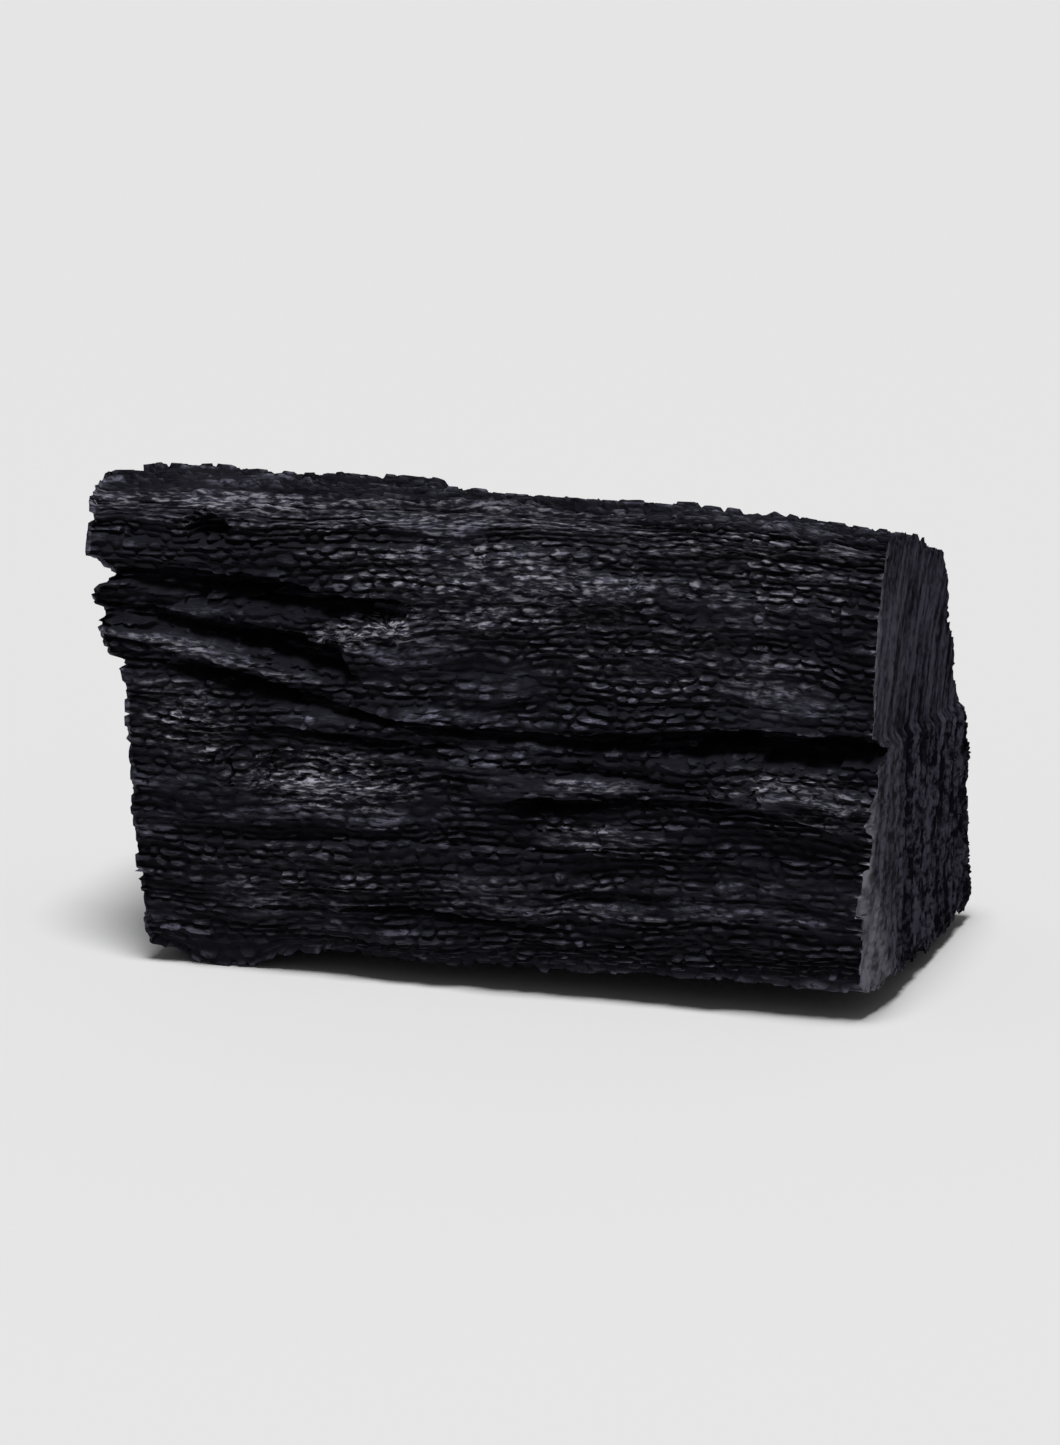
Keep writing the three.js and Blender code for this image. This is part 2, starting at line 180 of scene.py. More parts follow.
SHORT_SPLITS = [
    [(18, 33.2, 0.5, 0.5, 0.6), (26, 33.8, 0.7, 0.7, 1.7), (37, 33.2, 0.7, 0.9, 2.1),
     (49, 32.8, 0.5, 0.5, 0.6)],
    [(55, 26, 0.6, 0.6, 0.8), (58.5, 26.1, 1.3, 1.4, 4.6), (64, 26.5, 1.0, 1.3, 4.2), (72, 27.7, 0.7, 0.7, 2),
     (89, 29, 0.5, 0.5, 0.8)],
    [(60, 31.4, 0.5, 0.5, 0.6), (66, 31.7, 0.7, 0.7, 1.9), (84, 30.2, 0.5, 0.5, 0.8)],
    [(84, 57.4, 0.4, 0.4, 0.5), (90, 58.6, 0.5, 0.6, 1.3), (97, 59, 0.4, 0.4, 0.6)],
    [(20, 9, 0.5, 0.5, 0.8), (42, 10.4, 0.7, 0.8, 2), (66, 9.2, 0.5, 0.5, 0.8)],
]
FRONT_SPLITS = [MAIN_SPLIT, UPPER_HOLLOW, LOWER_HOLLOW] + SHORT_SPLITS
KNOT_HOLE = (19, 59.4, 3.4, 2.2, 4.2)  # x, z, half length, half width, depth

SMOOTH_SLIVERS = [
    [(-6, 62, 4, 3.5, 0.7), (20, 61.8, 4.4, 3.4, 0.9), (38, 62.6, 3.4, 2.4, 0.8), (47, 63.6, 2, 1.2, 0)],
    [(0, 45.6, 0.7, 0.8, 0.8), (14, 44, 1.5, 1.6, 1.3), (28, 41, 1.3, 1.4, 1.3), (36, 38.9, 0.9, 0.9, 0)],
    [(28, 31, 0.9, 0.9, 0), (34, 31.2, 1.5, 1.5, 0.8), (54, 30.2, 1.6, 1.5, 0.8), (64, 29.8, 0.9, 0.9, 0)],
    [(60, 29.4, 1, 0.9, 0), (64, 29.5, 1.4, 1.2, 1.1), (73, 30, 1.3, 1, 1.0), (79, 30.4, 0.8, 0.7, 0)],
    [(56, 21.6, 1, 1.4, 0), (62, 22.2, 2.4, 2.3, 0.9), (78, 23.6, 2.2, 2, 0.9), (86, 24.4, 1.2, 1.2, 0)],
]
ROUGH_SLIVERS = [
    [(30, 46, 0.7, 0.9, 0.4), (33, 46.2, 1.2, 1.4, 1.5), (44, 47.6, 1.1, 1.3, 1.2), (48, 48.2, 0.6, 0.7, 0)],
    [(16, 27.6, 3.4, 3.2, 0.8), (19, 27.8, 3.6, 3.4, 1.1), (38, 28.6, 2.6, 3, 1.0), (46, 29, 1.6, 1.6, 0)],
    [(84, 31.6, 0.7, 1.6, 0.6), (87, 31.9, 1.2, 2.2, 1.8), (101, 31.3, 1.2, 2.2, 1.8), (107, 31, 1, 2, 1.2)],
    [(94, 27.6, 0.7, 1, 0), (98, 27.9, 1.2, 1.5, 1.7), (110, 27.2, 1.2, 1.5, 1.7)],
    [(50, 15.4, 0.8, 0.8, 0), (56, 15.8, 1.3, 1.4, 0.8), (84, 16.8, 1.3, 1.4, 0.8), (94, 17, 0.8, 0.8, 0)],
]
# Patches of painted highlight on the front, where light catches the char.
SHEEN_PATCHES = [
    (12, 34, 10, 8, 0.9), (31, 27.5, 18, 5.5, 1.2), (24, 61.5, 34, 5, 0.5), (70, 22.5, 14, 3, 0.6),
    (36, 46.6, 6, 2.4, 2.0), (42, 47.8, 6, 2.4, 2.0), (95, 32.3, 12, 2.2, 0.9), (102, 29.1, 7, 1.8, 0.8),
    (86, 62.5, 28, 4, 1.1), (92, 57, 18, 7, 0.6), (58, 55, 30, 11, 0.8), (66, 13, 30, 5, 0.2),
    (80, 46, 26, 7, 0.5), (26, 14, 22, 8, 0.4),
]  # x, z, half length, half width, and how strong the painted highlight is
TOP_RULE = (3, 41)  # how many splits, and the seed of the draw
BACK_RULE = (5, 57)
BOTTOM_RULE = (4, 73)
print(len(FRONT_SPLITS), "splits and", len(SMOOTH_SLIVERS + ROUGH_SLIVERS), "lifted slivers on the front")

# %% [markdown]
# The torn end is an outline, how far in the fibres stop at each height, with a ragged edge over it.
# The other end snapped in two steps, above and below the main split, and its low front corner broke
# off at a slant. The lump rests on three low spots.

# %% The two ends and the feet
FRAYED_OUTLINE = [
    (0, 8.4), (14, 7.4), (37, 6.6), (40.5, 5.8), (42, 3.6), (47, 2.4), (53.5, 1), (59, 0.9), (62, 0),
    (64, 0), (66, 2),
]
FRAY_WIDE, FRAY_DEEP, FRAY_SEED = 4.2, 6.7, 91
FRAY_CLEAN, FRAY_TORN = 1.6, 6
TORN_FROM, TORN_TO = 40, 48
FRAY_EDGE = 8
FRONT_FRAY_WIDE, FRONT_FRAY_SEED = 2.1, 97
FRONT_CLEAN, FRONT_TORN = 0.5, 1.8
NOTCH, NOTCH_X = 0.6, 11

BREAK_STEP = 0.9
BREAK_LINE = (38, 30)  # its height at the front and at the back
BREAK_SOFT = 0.8
BREAK_LEAN = 0.022
BEVEL_Y, BEVEL_Z, BEVEL_SLOPE = 17, 26, 0.22
CHAMFER, CHAMFER_FROM, CHAMFER_TO = 1.2, 24, 34

FEET = [(18, 10.5), (25, 45), (96, 24)]
FOOT_RADIUS = 7
FOOT_DROP = 5.4
print("the lump rests on", len(FEET), "low spots")

# %% [markdown]
# A few small sums serve all the rules. The draw gives a cell the same number on every run. The ease
# runs smoothly from 0 to 1. The grain place says where a point lies in the tree, because fibres
# follow the growth rings and not the cut faces.

# %% Small sums that the rules share
TINY = 1e-9  # keeps a division or a test clear of zero
DRAW_STEPS, DRAW_STRETCH = (127.1, 311.7, 74.7), 43758.5453  # so large that near cells draw apart
LAYER_KEY = 17  # keeps the draws of rows and of layers apart


def draw(i, j, k):
    """A repeatable draw from 0 to 1 for a cell of whole numbers, one of which keeps its use apart."""
    step_i, step_j, step_k = DRAW_STEPS
    wave = np.sin(i * step_i + j * step_j + k * step_k) * DRAW_STRETCH
    return wave - np.floor(wave)


def mix(low, high, share):
    return low + (high - low) * share


def ease(low, high, value):
    t = np.clip((value - low) / (high - low), 0, 1)
    return t * t * (3 - 2 * t)


def column(rows, n, value):
    """Reads column n of a list of rows at a value of their first column."""
    return np.interp(value, [row[0] for row in rows], [row[n] for row in rows])


def long_drift(x):
    return LONG_DRIFT * np.sin(x / LONG_DRIFT_X + LONG_DRIFT_START)


def grain_place(x, y, z):
    """Where a point lies among the rings: distance from the pith, and distance round the ring."""
    ring = np.hypot(y - PITH_Y, z - PITH_Z) + RING_DRIFT * np.sin(x / RING_DRIFT_X + z / RING_DRIFT_Z)
    around = RING_RADIUS * np.arctan2(z - PITH_Z, PITH_Y - y)
    return ring, around + long_drift(x) + SHORT_DRIFT * np.sin(x / SHORT_DRIFT_X)


def bundle_step(bundle, x, ring, around):
    """Height of the bundle of fibre at a point, from minus half a step to plus half a step."""
    length, wide, step, seed = bundle
    row = np.floor(around / wide)
    layer = np.floor(ring / wide)
    place = x / length + draw(row, layer, seed)
    piece = np.floor(place)
    height, following = (draw(row + layer * LAYER_KEY, n, seed + 1) for n in (piece, piece + 1))
    return step * (mix(height, following, ease(1 - STEP_RUN / length, 1, place - piece)) - 0.5)


print("the front's middle lies", round(float(grain_place(LENGTH / 2, 0, HEIGHT / 2)[0])), "mm from the pith")

# %% [markdown]
# The solid's splits have straight lips and plain floors, because its faces are large. Charcoal tears
# in short steps: a lip runs along one fibre, breaks across and goes on along the next, and the floor
# is a stack of fibres that broke at different depths. The fine mesh gets both.

# %% Relief of the long faces
LIP_STEP = 2.6  # mm along the grain between the steps of a torn lip
LIP_THROW = 0.5  # share of the opening by which the steps may differ
LIP_EVEN = 0.4  # the draw that leaves the lip on its path
FLOOR_STRAND = 0.9  # mm, width of a strand on the floor of a split
FLOOR_STEP = 7.0  # mm, its length
FLOOR_THROW = 0.6  # share of the depth that a strand may fill
UPPER_KEY, LOWER_KEY, STRAND_KEY, FILL_KEY = 3, 8, 5, 7  # keep the draws of a split apart

# Short cracks that cross the grain: x, from z, to z, half width and depth.
CROSS_CRACKS = [(18.2, 24.6, 31, 0.35, 1.0), (23.4, 25.4, 31.4, 0.4, 1.2), (30.8, 41.6, 46, 0.35, 0.9),
                (47.2, 20.4, 24, 0.3, 0.8), (69.5, 21, 25, 0.3, 0.7), (90.6, 28, 32.4, 0.35, 0.9)]
CRACK_BEND, CRACK_BEND_Z = 0.5, 0.43  # mm by which a crack wanders, and the distance over which it does
HOLE_WANDER, HOLE_WANDER_X, HOLE_WANDER_Z = 0.22, 0.32, 0.21  # the same for the knot hole's edge, as a share
SMOOTH_LEAD = (0.2, 0.6)  # mm by which a smooth sliver stands above a rough one where it covers it

# What a split made by rule draws from, as in the solid: the least and the most of its start, its
# length, the throw of its line, its drift, its reach and its depth. All but the throw are in mm.
DRAWN = ((-4, 50), (36, 62), (0, 1), (-4, 4), (1.1, 1.9), (2.5, 5))
LINE_THROW = 0.4  # how far its line may lie from an even spacing
RULED_ROWS = ((0, 0.5, 0), (0.35, 1, 1), (0.7, 1, 0.8), (1, 0.5, 0))  # shares of length, reach and depth


def path_depth(path, x, across):
    line, above, below, depth = (column(path, n, x) for n in (1, 2, 3, 4))
    side = np.where(across > line, UPPER_KEY, LOWER_KEY)
    tear = draw(np.floor(x / LIP_STEP), side, path[0][1])
    reach = np.where(across > line, above, below) * (1 - LIP_THROW * (tear - LIP_EVEN))
    strand = np.floor((across - line) / FLOOR_STRAND)
    shift = draw(strand, STRAND_KEY, path[0][1])
    fill = draw(strand, np.floor(x / FLOOR_STEP + shift), FILL_KEY)
    inside = (x > path[0][0]) & (x < path[-1][0])
    wall = ease(0, WALL_SHARE, 1 - np.abs(across - line) / reach)
    return np.where(inside, depth * wall * (1 - FLOOR_THROW * fill), 0)


def ruled_splits(rule, span):
    count, seed = rule
    paths = []
    for i in range(count):
        start, length, throw, drift, reach, depth = (
            mix(*ends, draw(i, seed, key)) for key, ends in enumerate(DRAWN, start=1)
        )
        line = span * (i + 0.5 + LINE_THROW * (throw - 0.5)) / count
        paths.append([
            (start + length * part, line + drift * part, reach * wide, reach * wide, depth * deep)
            for part, wide, deep in RULED_ROWS
        ])
    return paths


def deepest(paths, x, across):
    return np.max([path_depth(path, x, across) for path in paths], axis=0)


TOP_SPLITS = ruled_splits(TOP_RULE, BROKEN_SECTION["back_top"][0])
BACK_SPLITS = ruled_splits(BACK_RULE, BROKEN_SECTION["back_top"][1])
BOTTOM_SPLITS = ruled_splits(BOTTOM_RULE, BROKEN_SECTION["back_bottom"][0])


def crack_depth(crack, x, z):
    crack_x, from_z, to_z, half_width, depth = crack
    bend = CRACK_BEND * np.sin(z / CRACK_BEND_Z + crack_x)
    length_share = np.clip(np.minimum(z - from_z, to_z - z), 0, 1)
    return depth * length_share * ease(0, 1, 1 - np.abs(x - crack_x - bend) / half_width)


def front_relief(x, z):
    """How far the front is lifted, how far it is sunk, and how smooth the lifted part is."""
    smooth_rise = deepest(SMOOTH_SLIVERS, x, z)
    rough_rise = deepest(ROUGH_SLIVERS, x, z)
    hole_x, hole_z, half_long, half_wide, hole_depth = KNOT_HOLE
    hole = np.hypot((x - hole_x) / half_long, (z - hole_z) / half_wide)
    hole = hole + HOLE_WANDER * np.sin(x / HOLE_WANDER_X) * np.sin(z / HOLE_WANDER_Z)
    sunk = np.maximum(hole_depth * ease(0, WALL_SHARE, 1 - hole), deepest(FRONT_SPLITS, x, z))
    sunk = np.maximum(sunk, np.max([crack_depth(crack, x, z) for crack in CROSS_CRACKS], axis=0))
    return np.maximum(smooth_rise, rough_rise), sunk, ease(*SMOOTH_LEAD, smooth_rise - rough_rise)


print(len(TOP_SPLITS), "splits on top,", len(BACK_SPLITS), "at the back and", len(BOTTOM_SPLITS), "below")

# %% [markdown]
# Each end is a sum that says how far along the grain a point of it lies. Fibres that tear each stop
# at their own place, so the torn end draws a length for each bundle. The break is smooth but for its
# step, a slanted corner and a narrow chamfer.

# %% The two ends
def frayed_x(y, z):
    outline = column(FRAYED_OUTLINE, 1, z)
    ring, around = grain_place(0, y, z)
    row = np.floor(around / FRAY_WIDE)
    layer = np.floor(ring / FRAY_DEEP + draw(row, 0, FRAY_SEED))
    torn = ease(TORN_FROM, TORN_TO, z)
    inward = ease(0, FRAY_EDGE, y - FRAYED_SECTION["front_top"][0])
    deep_fray = mix(FRAY_CLEAN, FRAY_TORN, torn) * draw(row, layer, FRAY_SEED)
    notch = NOTCH * deepest([MAIN_SPLIT, UPPER_HOLLOW, LOWER_HOLLOW], NOTCH_X, z)
    front_row = np.floor(around / FRONT_FRAY_WIDE)
    front_fray = mix(FRONT_CLEAN, FRONT_TORN, torn) * draw(front_row, 0, FRONT_FRAY_SEED)
    return outline + mix(front_fray + notch, deep_fray, inward)


def behind_front(y, z):
    """How far a point of the broken end lies behind the front."""
    up = z / HEIGHT
    flat = mix(BROKEN_SECTION["front_bottom"][0], BROKEN_SECTION["front_top"][0], up)
    return y - (flat - FRONT_BULGE * 4 * up * (1 - up))


def below_step(y, z, soft):
    """From 0 above the step in the break to 1 below it."""
    line = mix(*BREAK_LINE, y / DEPTH)
    return 1 - ease(line - soft, line + soft, z)


def broken_x(y, z):
    bevel = np.maximum(0, 1 - y / BEVEL_Y - z / BEVEL_Z) * BEVEL_Y
    chamfer = np.clip(CHAMFER - behind_front(y, z), 0, CHAMFER) * (1 - ease(CHAMFER_FROM, CHAMFER_TO, z))
    flat = BREAK_X + BREAK_STEP * below_step(y, z, BREAK_SOFT) + BREAK_LEAN * (z - HEIGHT)
    return flat - BEVEL_SLOPE * bevel - chamfer


middle = DEPTH / 2, HEIGHT / 2
print(f"half way up, the ends lie at {frayed_x(*middle):.1f} and {broken_x(*middle):.1f} mm")


# %% [markdown]
# The section is mixed from those at the two ends. Near a long edge the reliefs of its two faces share
# the move, so the edge is worn and not folded. The place across the rows of fibre is counted round
# the outside: up the front, over the top, down the back and home along the underside.

# %% Points of the lump
FRONT_GIRTH, TOP_GIRTH, BACK_GIRTH, UNDER_GIRTH = 63, 38, 56, 50
RIM = (0.84, 0.97)  # the upper front edge, where the fibres are long and calm and a painted highlight runs
RIM_RUN = (66, 90)  # where that ends, along the grain
RIM_CALM = 0.75
SHEEN_RISE = (0.3, 0.9)  # a sliver that stands this proud gets a painted highlight
RISE_SHEEN, RIM_SHEEN = 0.45, 0.75  # how strong the painted highlight is on slivers and on the upper edge
PATCH_EDGE = 0.7  # how much of a patch of painted highlight its fading edge takes
MOST_SHEEN = 1.5  # a cap, above 1 so that the palest threads are broad

# Painted highlight on parts of the break, how pale it is and where it ends: the bevel, the front third, its
# edge, the chamfer.
BEVEL_PALE, BEVEL_EDGE = 0.6, 0.06
STRIP_PALE, STRIP_EDGE = (0.07, 0.14), (12, 17)  # the first pair is above and below the step
BRINK_PALE, BRINK_EDGE = 0.5, (1, 3)
CHAMFER_EDGE = (0.8, 1.4)
TORN_SOFT = 2.5  # mm over which the smooth break turns rough at its step
STRIP_ROUGH = 0.4  # how rough the front third is, as a share of the rest
SEAM_AT, SEAM_HALF = 19, 1.4  # mm behind the front, where the wood parted along a ring, and its half width


def section_point(x, b, c):
    share = x / LENGTH
    corner = {
        name: [mix(FRAYED_SECTION[name][n], BROKEN_SECTION[name][n], share) for n in (0, 1)]
        for name in FRAYED_SECTION
    }
    up = (c + 1) / 2
    back = (b + 1) / 2
    swell = 4 * up * (1 - up)
    front = [mix(corner["front_bottom"][n], corner["front_top"][n], up) for n in (0, 1)]
    rear = [mix(corner["back_bottom"][n], corner["back_top"][n], up) for n in (0, 1)]
    y = mix(front[0] - FRONT_BULGE * swell, rear[0] + BACK_BULGE * swell, back)
    crown = TOP_CROWN * 4 * back * (1 - back) * np.maximum(0, c)
    bow = TOP_BOW * 4 * share * (1 - share) * up * up
    z = mix(front[1], rear[1], back) + crown + bow
    rounding = np.where(c > 0, mix(*UPPER_ROUNDING, share), UNDER_ROUNDING)
    loss = rounding * np.abs(b * c) ** CORNER_SHARPNESS
    return mix(y, DEPTH / 2, loss), mix(z, HEIGHT / 2, loss)


def sheen_share(x, z, rise):
    """How much painted highlight the front gets at a point: on its proud slivers, and in the listed patches.
    """
    shares = [RISE_SHEEN * ease(*SHEEN_RISE, rise)]
    for patch_x, patch_z, half_long, half_wide, strength in SHEEN_PATCHES:
        away = np.hypot((x - patch_x) / half_long, (z - patch_z) / half_wide)
        shares.append(strength * ease(0, PATCH_EDGE, 1 - away))
    return np.minimum(MOST_SHEEN, np.max(shares, axis=0))


def pale_share(y, z):
    """How pale a point of the break is painted, as highlight."""
    bevel = BEVEL_PALE * ease(0, BEVEL_EDGE, 1 - y / BEVEL_Y - z / BEVEL_Z)
    behind = behind_front(y, z)
    strip = mix(*STRIP_PALE, below_step(y, z, TORN_SOFT)) * (1 - ease(*STRIP_EDGE, behind))
    brink = BRINK_PALE * (1 - ease(*BRINK_EDGE, behind))
    chamfer = (1 - ease(*CHAMFER_EDGE, behind)) * (1 - ease(CHAMFER_FROM, CHAMFER_TO, z))
    return np.max([bevel, strip, brink, chamfer], axis=0)


def torn_break(y, z):
    """How rough a point of the break is, and how near it is to the seam. Both are below the step."""
    below = below_step(y, z, TORN_SOFT)
    behind = behind_front(y, z)
    from_seam = (behind - SEAM_AT) / SEAM_HALF
    return below * mix(STRIP_ROUGH, 1, ease(*STRIP_EDGE, behind)), below * np.exp(-from_seam * from_seam)


def lump_points(a, b, c):
    """Places the box's points, and says what the fibres and the finish need to know at each."""
    outermost = np.maximum(np.maximum(np.abs(b), np.abs(c)), TINY)
    side_b, side_c = b / outermost, c / outermost
    nominal_x = mix(FRAYED_X, BREAK_X, (a + 1) / 2)
    face_y, face_z = section_point(nominal_x, side_b, side_c)
    ring, around = grain_place(nominal_x, face_y, face_z)
    rim = ease(*RIM, np.maximum(0, -side_b) * np.maximum(0, side_c)) * (1 - ease(*RIM_RUN, nominal_x))
    fibres = bundle_step(BUNDLES, nominal_x, ring, around) + bundle_step(STRANDS, nominal_x, ring, around)
    fibres = fibres * (1 - RIM_CALM * rim)
    slab = bundle_step(SLABS, nominal_x, ring, around) * mix(FRONT_SLAB_SHARE, 1, (side_b + 1) / 2)
    sideways, upright = np.abs(side_b) ** EDGE_BLEND, np.abs(side_c) ** EDGE_BLEND
    across_share = sideways / np.maximum(sideways + upright, TINY)

    rise, front_sunk, front_smooth = front_relief(nominal_x, face_z)
    is_front = side_b < 0
    sunk_y = np.where(is_front, front_sunk, deepest(BACK_SPLITS, nominal_x, face_z))
    sunk_z = deepest(TOP_SPLITS, nominal_x, face_y)
    sunk_z = np.where(side_c > 0, sunk_z, deepest(BOTTOM_SPLITS, nominal_x, face_y))
    out_y = slab + fibres + np.where(is_front, rise, 0) - sunk_y
    out_z = slab + fibres - sunk_z

    fade = outermost ** 2
    base_y, base_z = section_point(nominal_x, b, c)
    y = base_y + np.sign(side_b) * out_y * across_share * fade
    z = base_z + np.sign(side_c) * out_z * (1 - across_share) * fade
    x = mix(frayed_x(y, base_z), broken_x(y, base_z), (a + 1) / 2)
    for foot_x, foot_y in FEET:
        away = np.hypot(x - foot_x, y - foot_y) / FOOT_RADIUS
        z = z - FOOT_DROP * np.exp(-away * away) * np.maximum(0, -c) ** EDGE_BLEND

    on_front = np.where(is_front, across_share, 0) * fade
    # the front's painted highlight: its proud slivers, its patches and its upper edge
    worn = np.maximum(sheen_share(nominal_x, face_z, rise) * on_front, RIM_SHEEN * rim)
    up, back = (side_c + 1) / 2, (side_b + 1) / 2
    round_place = np.where(
        across_share > 0.5,
        np.where(is_front, FRONT_GIRTH * up, FRONT_GIRTH + TOP_GIRTH + BACK_GIRTH * (1 - up)),
        np.where(side_c > 0, FRONT_GIRTH + TOP_GIRTH * back, -UNDER_GIRTH * back),
    )
    rough_break, seam = torn_break(y, base_z)
    traits = {
        "sunk": (sunk_y * across_share + sunk_z * (1 - across_share)) * fade,
        "smooth": np.maximum(front_smooth * on_front, rim),
        # on the break this is its painted highlight
        "worn": np.where(a > 1 - TINY, pale_share(y, base_z), worn),
        "rough_break": rough_break,
        "seam": seam,
    }
    points = np.stack([x, y, np.maximum(0, z)], axis=1)
    return points, traits, round_place + long_drift(nominal_x)


# %% [markdown]
# The mesh is the skin of a finely divided box. Each cell of four corners is cut along its shorter
# diagonal, so that ledges stay crisp.

# %% Make the fine mesh
CELLS_ALONG, CELLS_DEEP, CELLS_HIGH = 290, 150, 310


def box_skin(counts):
    """Whole-numbered lattice points on the skin of a divided box, and its four-cornered cells."""
    cells = []
    for axis in range(3):
        u, v = (axis + 1) % 3, (axis + 2) % 3
        grids = np.meshgrid(np.arange(counts[u]), np.arange(counts[v]), indexing="ij")
        i, j = (grid.ravel() for grid in grids)
        for end in (0, 1):
            corners = np.zeros((len(i), 4, 3), int)
            corners[:, :, axis] = counts[axis] * end
            for n, (step_u, step_v) in enumerate([(0, 0), (1, 0), (1, 1), (0, 1)]):
                corners[:, n, u] = i + step_u
                corners[:, n, v] = j + step_v
            cells.append(corners if end else corners[:, ::-1])
    cells = np.concatenate(cells)
    spans = (1, counts[0] + 1, (counts[0] + 1) * (counts[1] + 1))
    keys, index = np.unique(cells @ np.array(spans), return_inverse=True)
    lattice = np.stack([keys % spans[1], keys // spans[1] % (counts[1] + 1), keys // spans[2]], axis=1)
    return lattice, index.reshape(-1, 4)


def cut_cells(points, cells):
    """Cuts each cell into two triangles along its shorter diagonal."""
    first = np.linalg.norm(points[cells[:, 0]] - points[cells[:, 2]], axis=1)
    second = np.linalg.norm(points[cells[:, 1]] - points[cells[:, 3]], axis=1)
    turned = np.where((first > second)[:, None], np.roll(cells, -1, axis=1), cells)
    return np.concatenate([turned[:, [0, 1, 2]], turned[:, [0, 2, 3]]])


lattice, cells = box_skin((CELLS_ALONG, CELLS_DEEP, CELLS_HIGH))
a, b, c = (lattice / (CELLS_ALONG, CELLS_DEEP, CELLS_HIGH) * 2 - 1).T
points, traits, round_place = lump_points(a, b, c)
triangles = cut_cells(points, cells)
print(f"{len(points)} points, {len(triangles)} triangles")

# %% [markdown]
# The fibres and the finish need to know a few things at each point, so these are stored on the mesh
# as named attributes: where the point lies in the grain, which way is out, how deep it lies in a
# split, how smooth it is, how worn it is and how much painted highlight it gets, and whether it is on
# an end.

# %% Store what the fibres need
def store(mesh, name, kind, values):
    attribute = mesh.attributes.new(name, kind, "POINT")
    key = "vector" if kind == "FLOAT_VECTOR" else "value"
    attribute.data.foreach_set(key, np.ravel(values).astype(np.float32))


form = bpy.data.meshes.new("charcoal_form")
form.vertices.add(len(points))
form.vertices.foreach_set("co", points.astype(np.float32).ravel())
form.loops.add(triangles.size)
form.loops.foreach_set("vertex_index", triangles.astype(np.int32).ravel())
form.polygons.add(len(triangles))
form.polygons.foreach_set("loop_start", np.arange(0, triangles.size, 3, dtype=np.int32))
form.update(calc_edges=True)

ring = grain_place(*points.T)[0]
store(form, "grain", "FLOAT_VECTOR", np.stack([points[:, 0], round_place, ring], axis=1))

on_end = np.abs(a) > 1 - TINY
inside_end = on_end & (np.maximum(np.abs(b), np.abs(c)) < 1 - TINY)
weight_b, weight_c = np.abs(b) ** EDGE_BLEND, np.abs(c) ** EDGE_BLEND
nothing = np.zeros(len(a))
outward = np.stack([nothing, np.sign(b) * weight_b, np.sign(c) * weight_c], axis=1)
outward[inside_end] = np.stack([np.sign(a), nothing, nothing], axis=1)[inside_end]
outward /= np.maximum(np.linalg.norm(outward, axis=1, keepdims=True), TINY)
store(form, "outward", "FLOAT_VECTOR", outward)
shares = {"break_share": on_end & (a > 0), "side_share": ~inside_end, "torn_share": inside_end & (a < 0)}
for name, values in {**shares, **traits}.items():
    store(form, name, "FLOAT", values)
print("attributes:", [attribute.name for attribute in form.attributes])


# %% [markdown]
# ## The finish
#
# Charcoal is nearly pure carbon. Where fibres lie open they have a silky grey sheen, a little blue,
# partly from the gloss and partly painted as highlight. The gaps between them are soot black, with
# painted shade. A Principled shader with a dark base and a soft gloss gives both, and its patterns read
# the grain's own coordinates, in millimetres. The finish comes before the fibres, because the tree that
# grows them also lays it on.

# %% Colours
def linear(code):
    """An sRGB hex colour as linear numbers."""
    channels = [int(code[n:n + 2], 16) / 255 for n in (1, 3, 5)]
    return tuple(v / 12.92 if v <= 0.04045 else ((v + 0.055) / 1.055) ** 2.4 for v in channels) + (1.0,)


SOOT_AND_SHADE = linear("#020203")  # near black for the gaps and the floors of the splits: soot, and painted shade
CHAR = linear("#0c0b10")  # the fibres
CHAR_WORN_AND_LIT = linear("#504e5b")  # their worn tops, lighter also as painted highlight
PAINTED_SHEEN_GREY = linear("#aaa8b2")  # painted highlight: the proud slivers, the upper edge and the pale parts of the break
SNAPPED = linear("#464450")  # the clean break
SNAPPED_DARK = linear("#111016")
COOL_SHEEN = linear("#dfe0ff")
# the second number is the grey of the painted highlight
print("the char reflects", f"{CHAR[0]:.4f}, and where it is rubbed {PAINTED_SHEEN_GREY[0]:.2f}")

# %% [markdown]
# Both finishes and the fibres are built of nodes, so one small function adds a node, sets it up,
# links it and returns an output for the next node to take. What comes back often has a short name.

# %% A helper that adds a node
ATTRIBUTE, NAMED_ATTRIBUTE = "ShaderNodeAttribute", "GeometryNodeInputNamedAttribute"
MATH, VECTOR_MATH, MAP_RANGE = "ShaderNodeMath", "ShaderNodeVectorMath", "ShaderNodeMapRange"
MIX, NOISE, WHITE_NOISE = "ShaderNodeMix", "ShaderNodeTexNoise", "ShaderNodeTexWhiteNoise"
SEPARATE, COMBINE = "ShaderNodeSeparateXYZ", "ShaderNodeCombineXYZ"
ADD, SUBTRACT, MULTIPLY, DIVIDE, MULTIPLY_ADD, MAXIMUM, FLOOR, PINGPONG = (
    {"operation": name} for name in "ADD SUBTRACT MULTIPLY DIVIDE MULTIPLY_ADD MAXIMUM FLOOR PINGPONG".split()
)
CLAMPED = {"use_clamp": True}
COLOUR, NUMBER, VECTOR = ({"data_type": name} for name in ("RGBA", "FLOAT", "FLOAT_VECTOR"))
SMOOTHSTEP = {"interpolation_type": "SMOOTHSTEP"}


def add_node(tree, kind, settings=None, links=(), output=0):
    """Adds a node and returns one output. Its inputs are keyed, or given in a row from the first on."""
    node = tree.nodes.new(kind)
    inputs = links if isinstance(links, dict) else dict(enumerate(links))
    for name, value in (settings or {}).items():
        setattr(node, name, value)
    for key, value in inputs.items():
        socket = node.inputs[key]
        if isinstance(value, bpy.types.NodeSocket):
            tree.links.new(value, socket)
        else:
            socket.default_value = value
    return node.outputs[output] if node.outputs else node


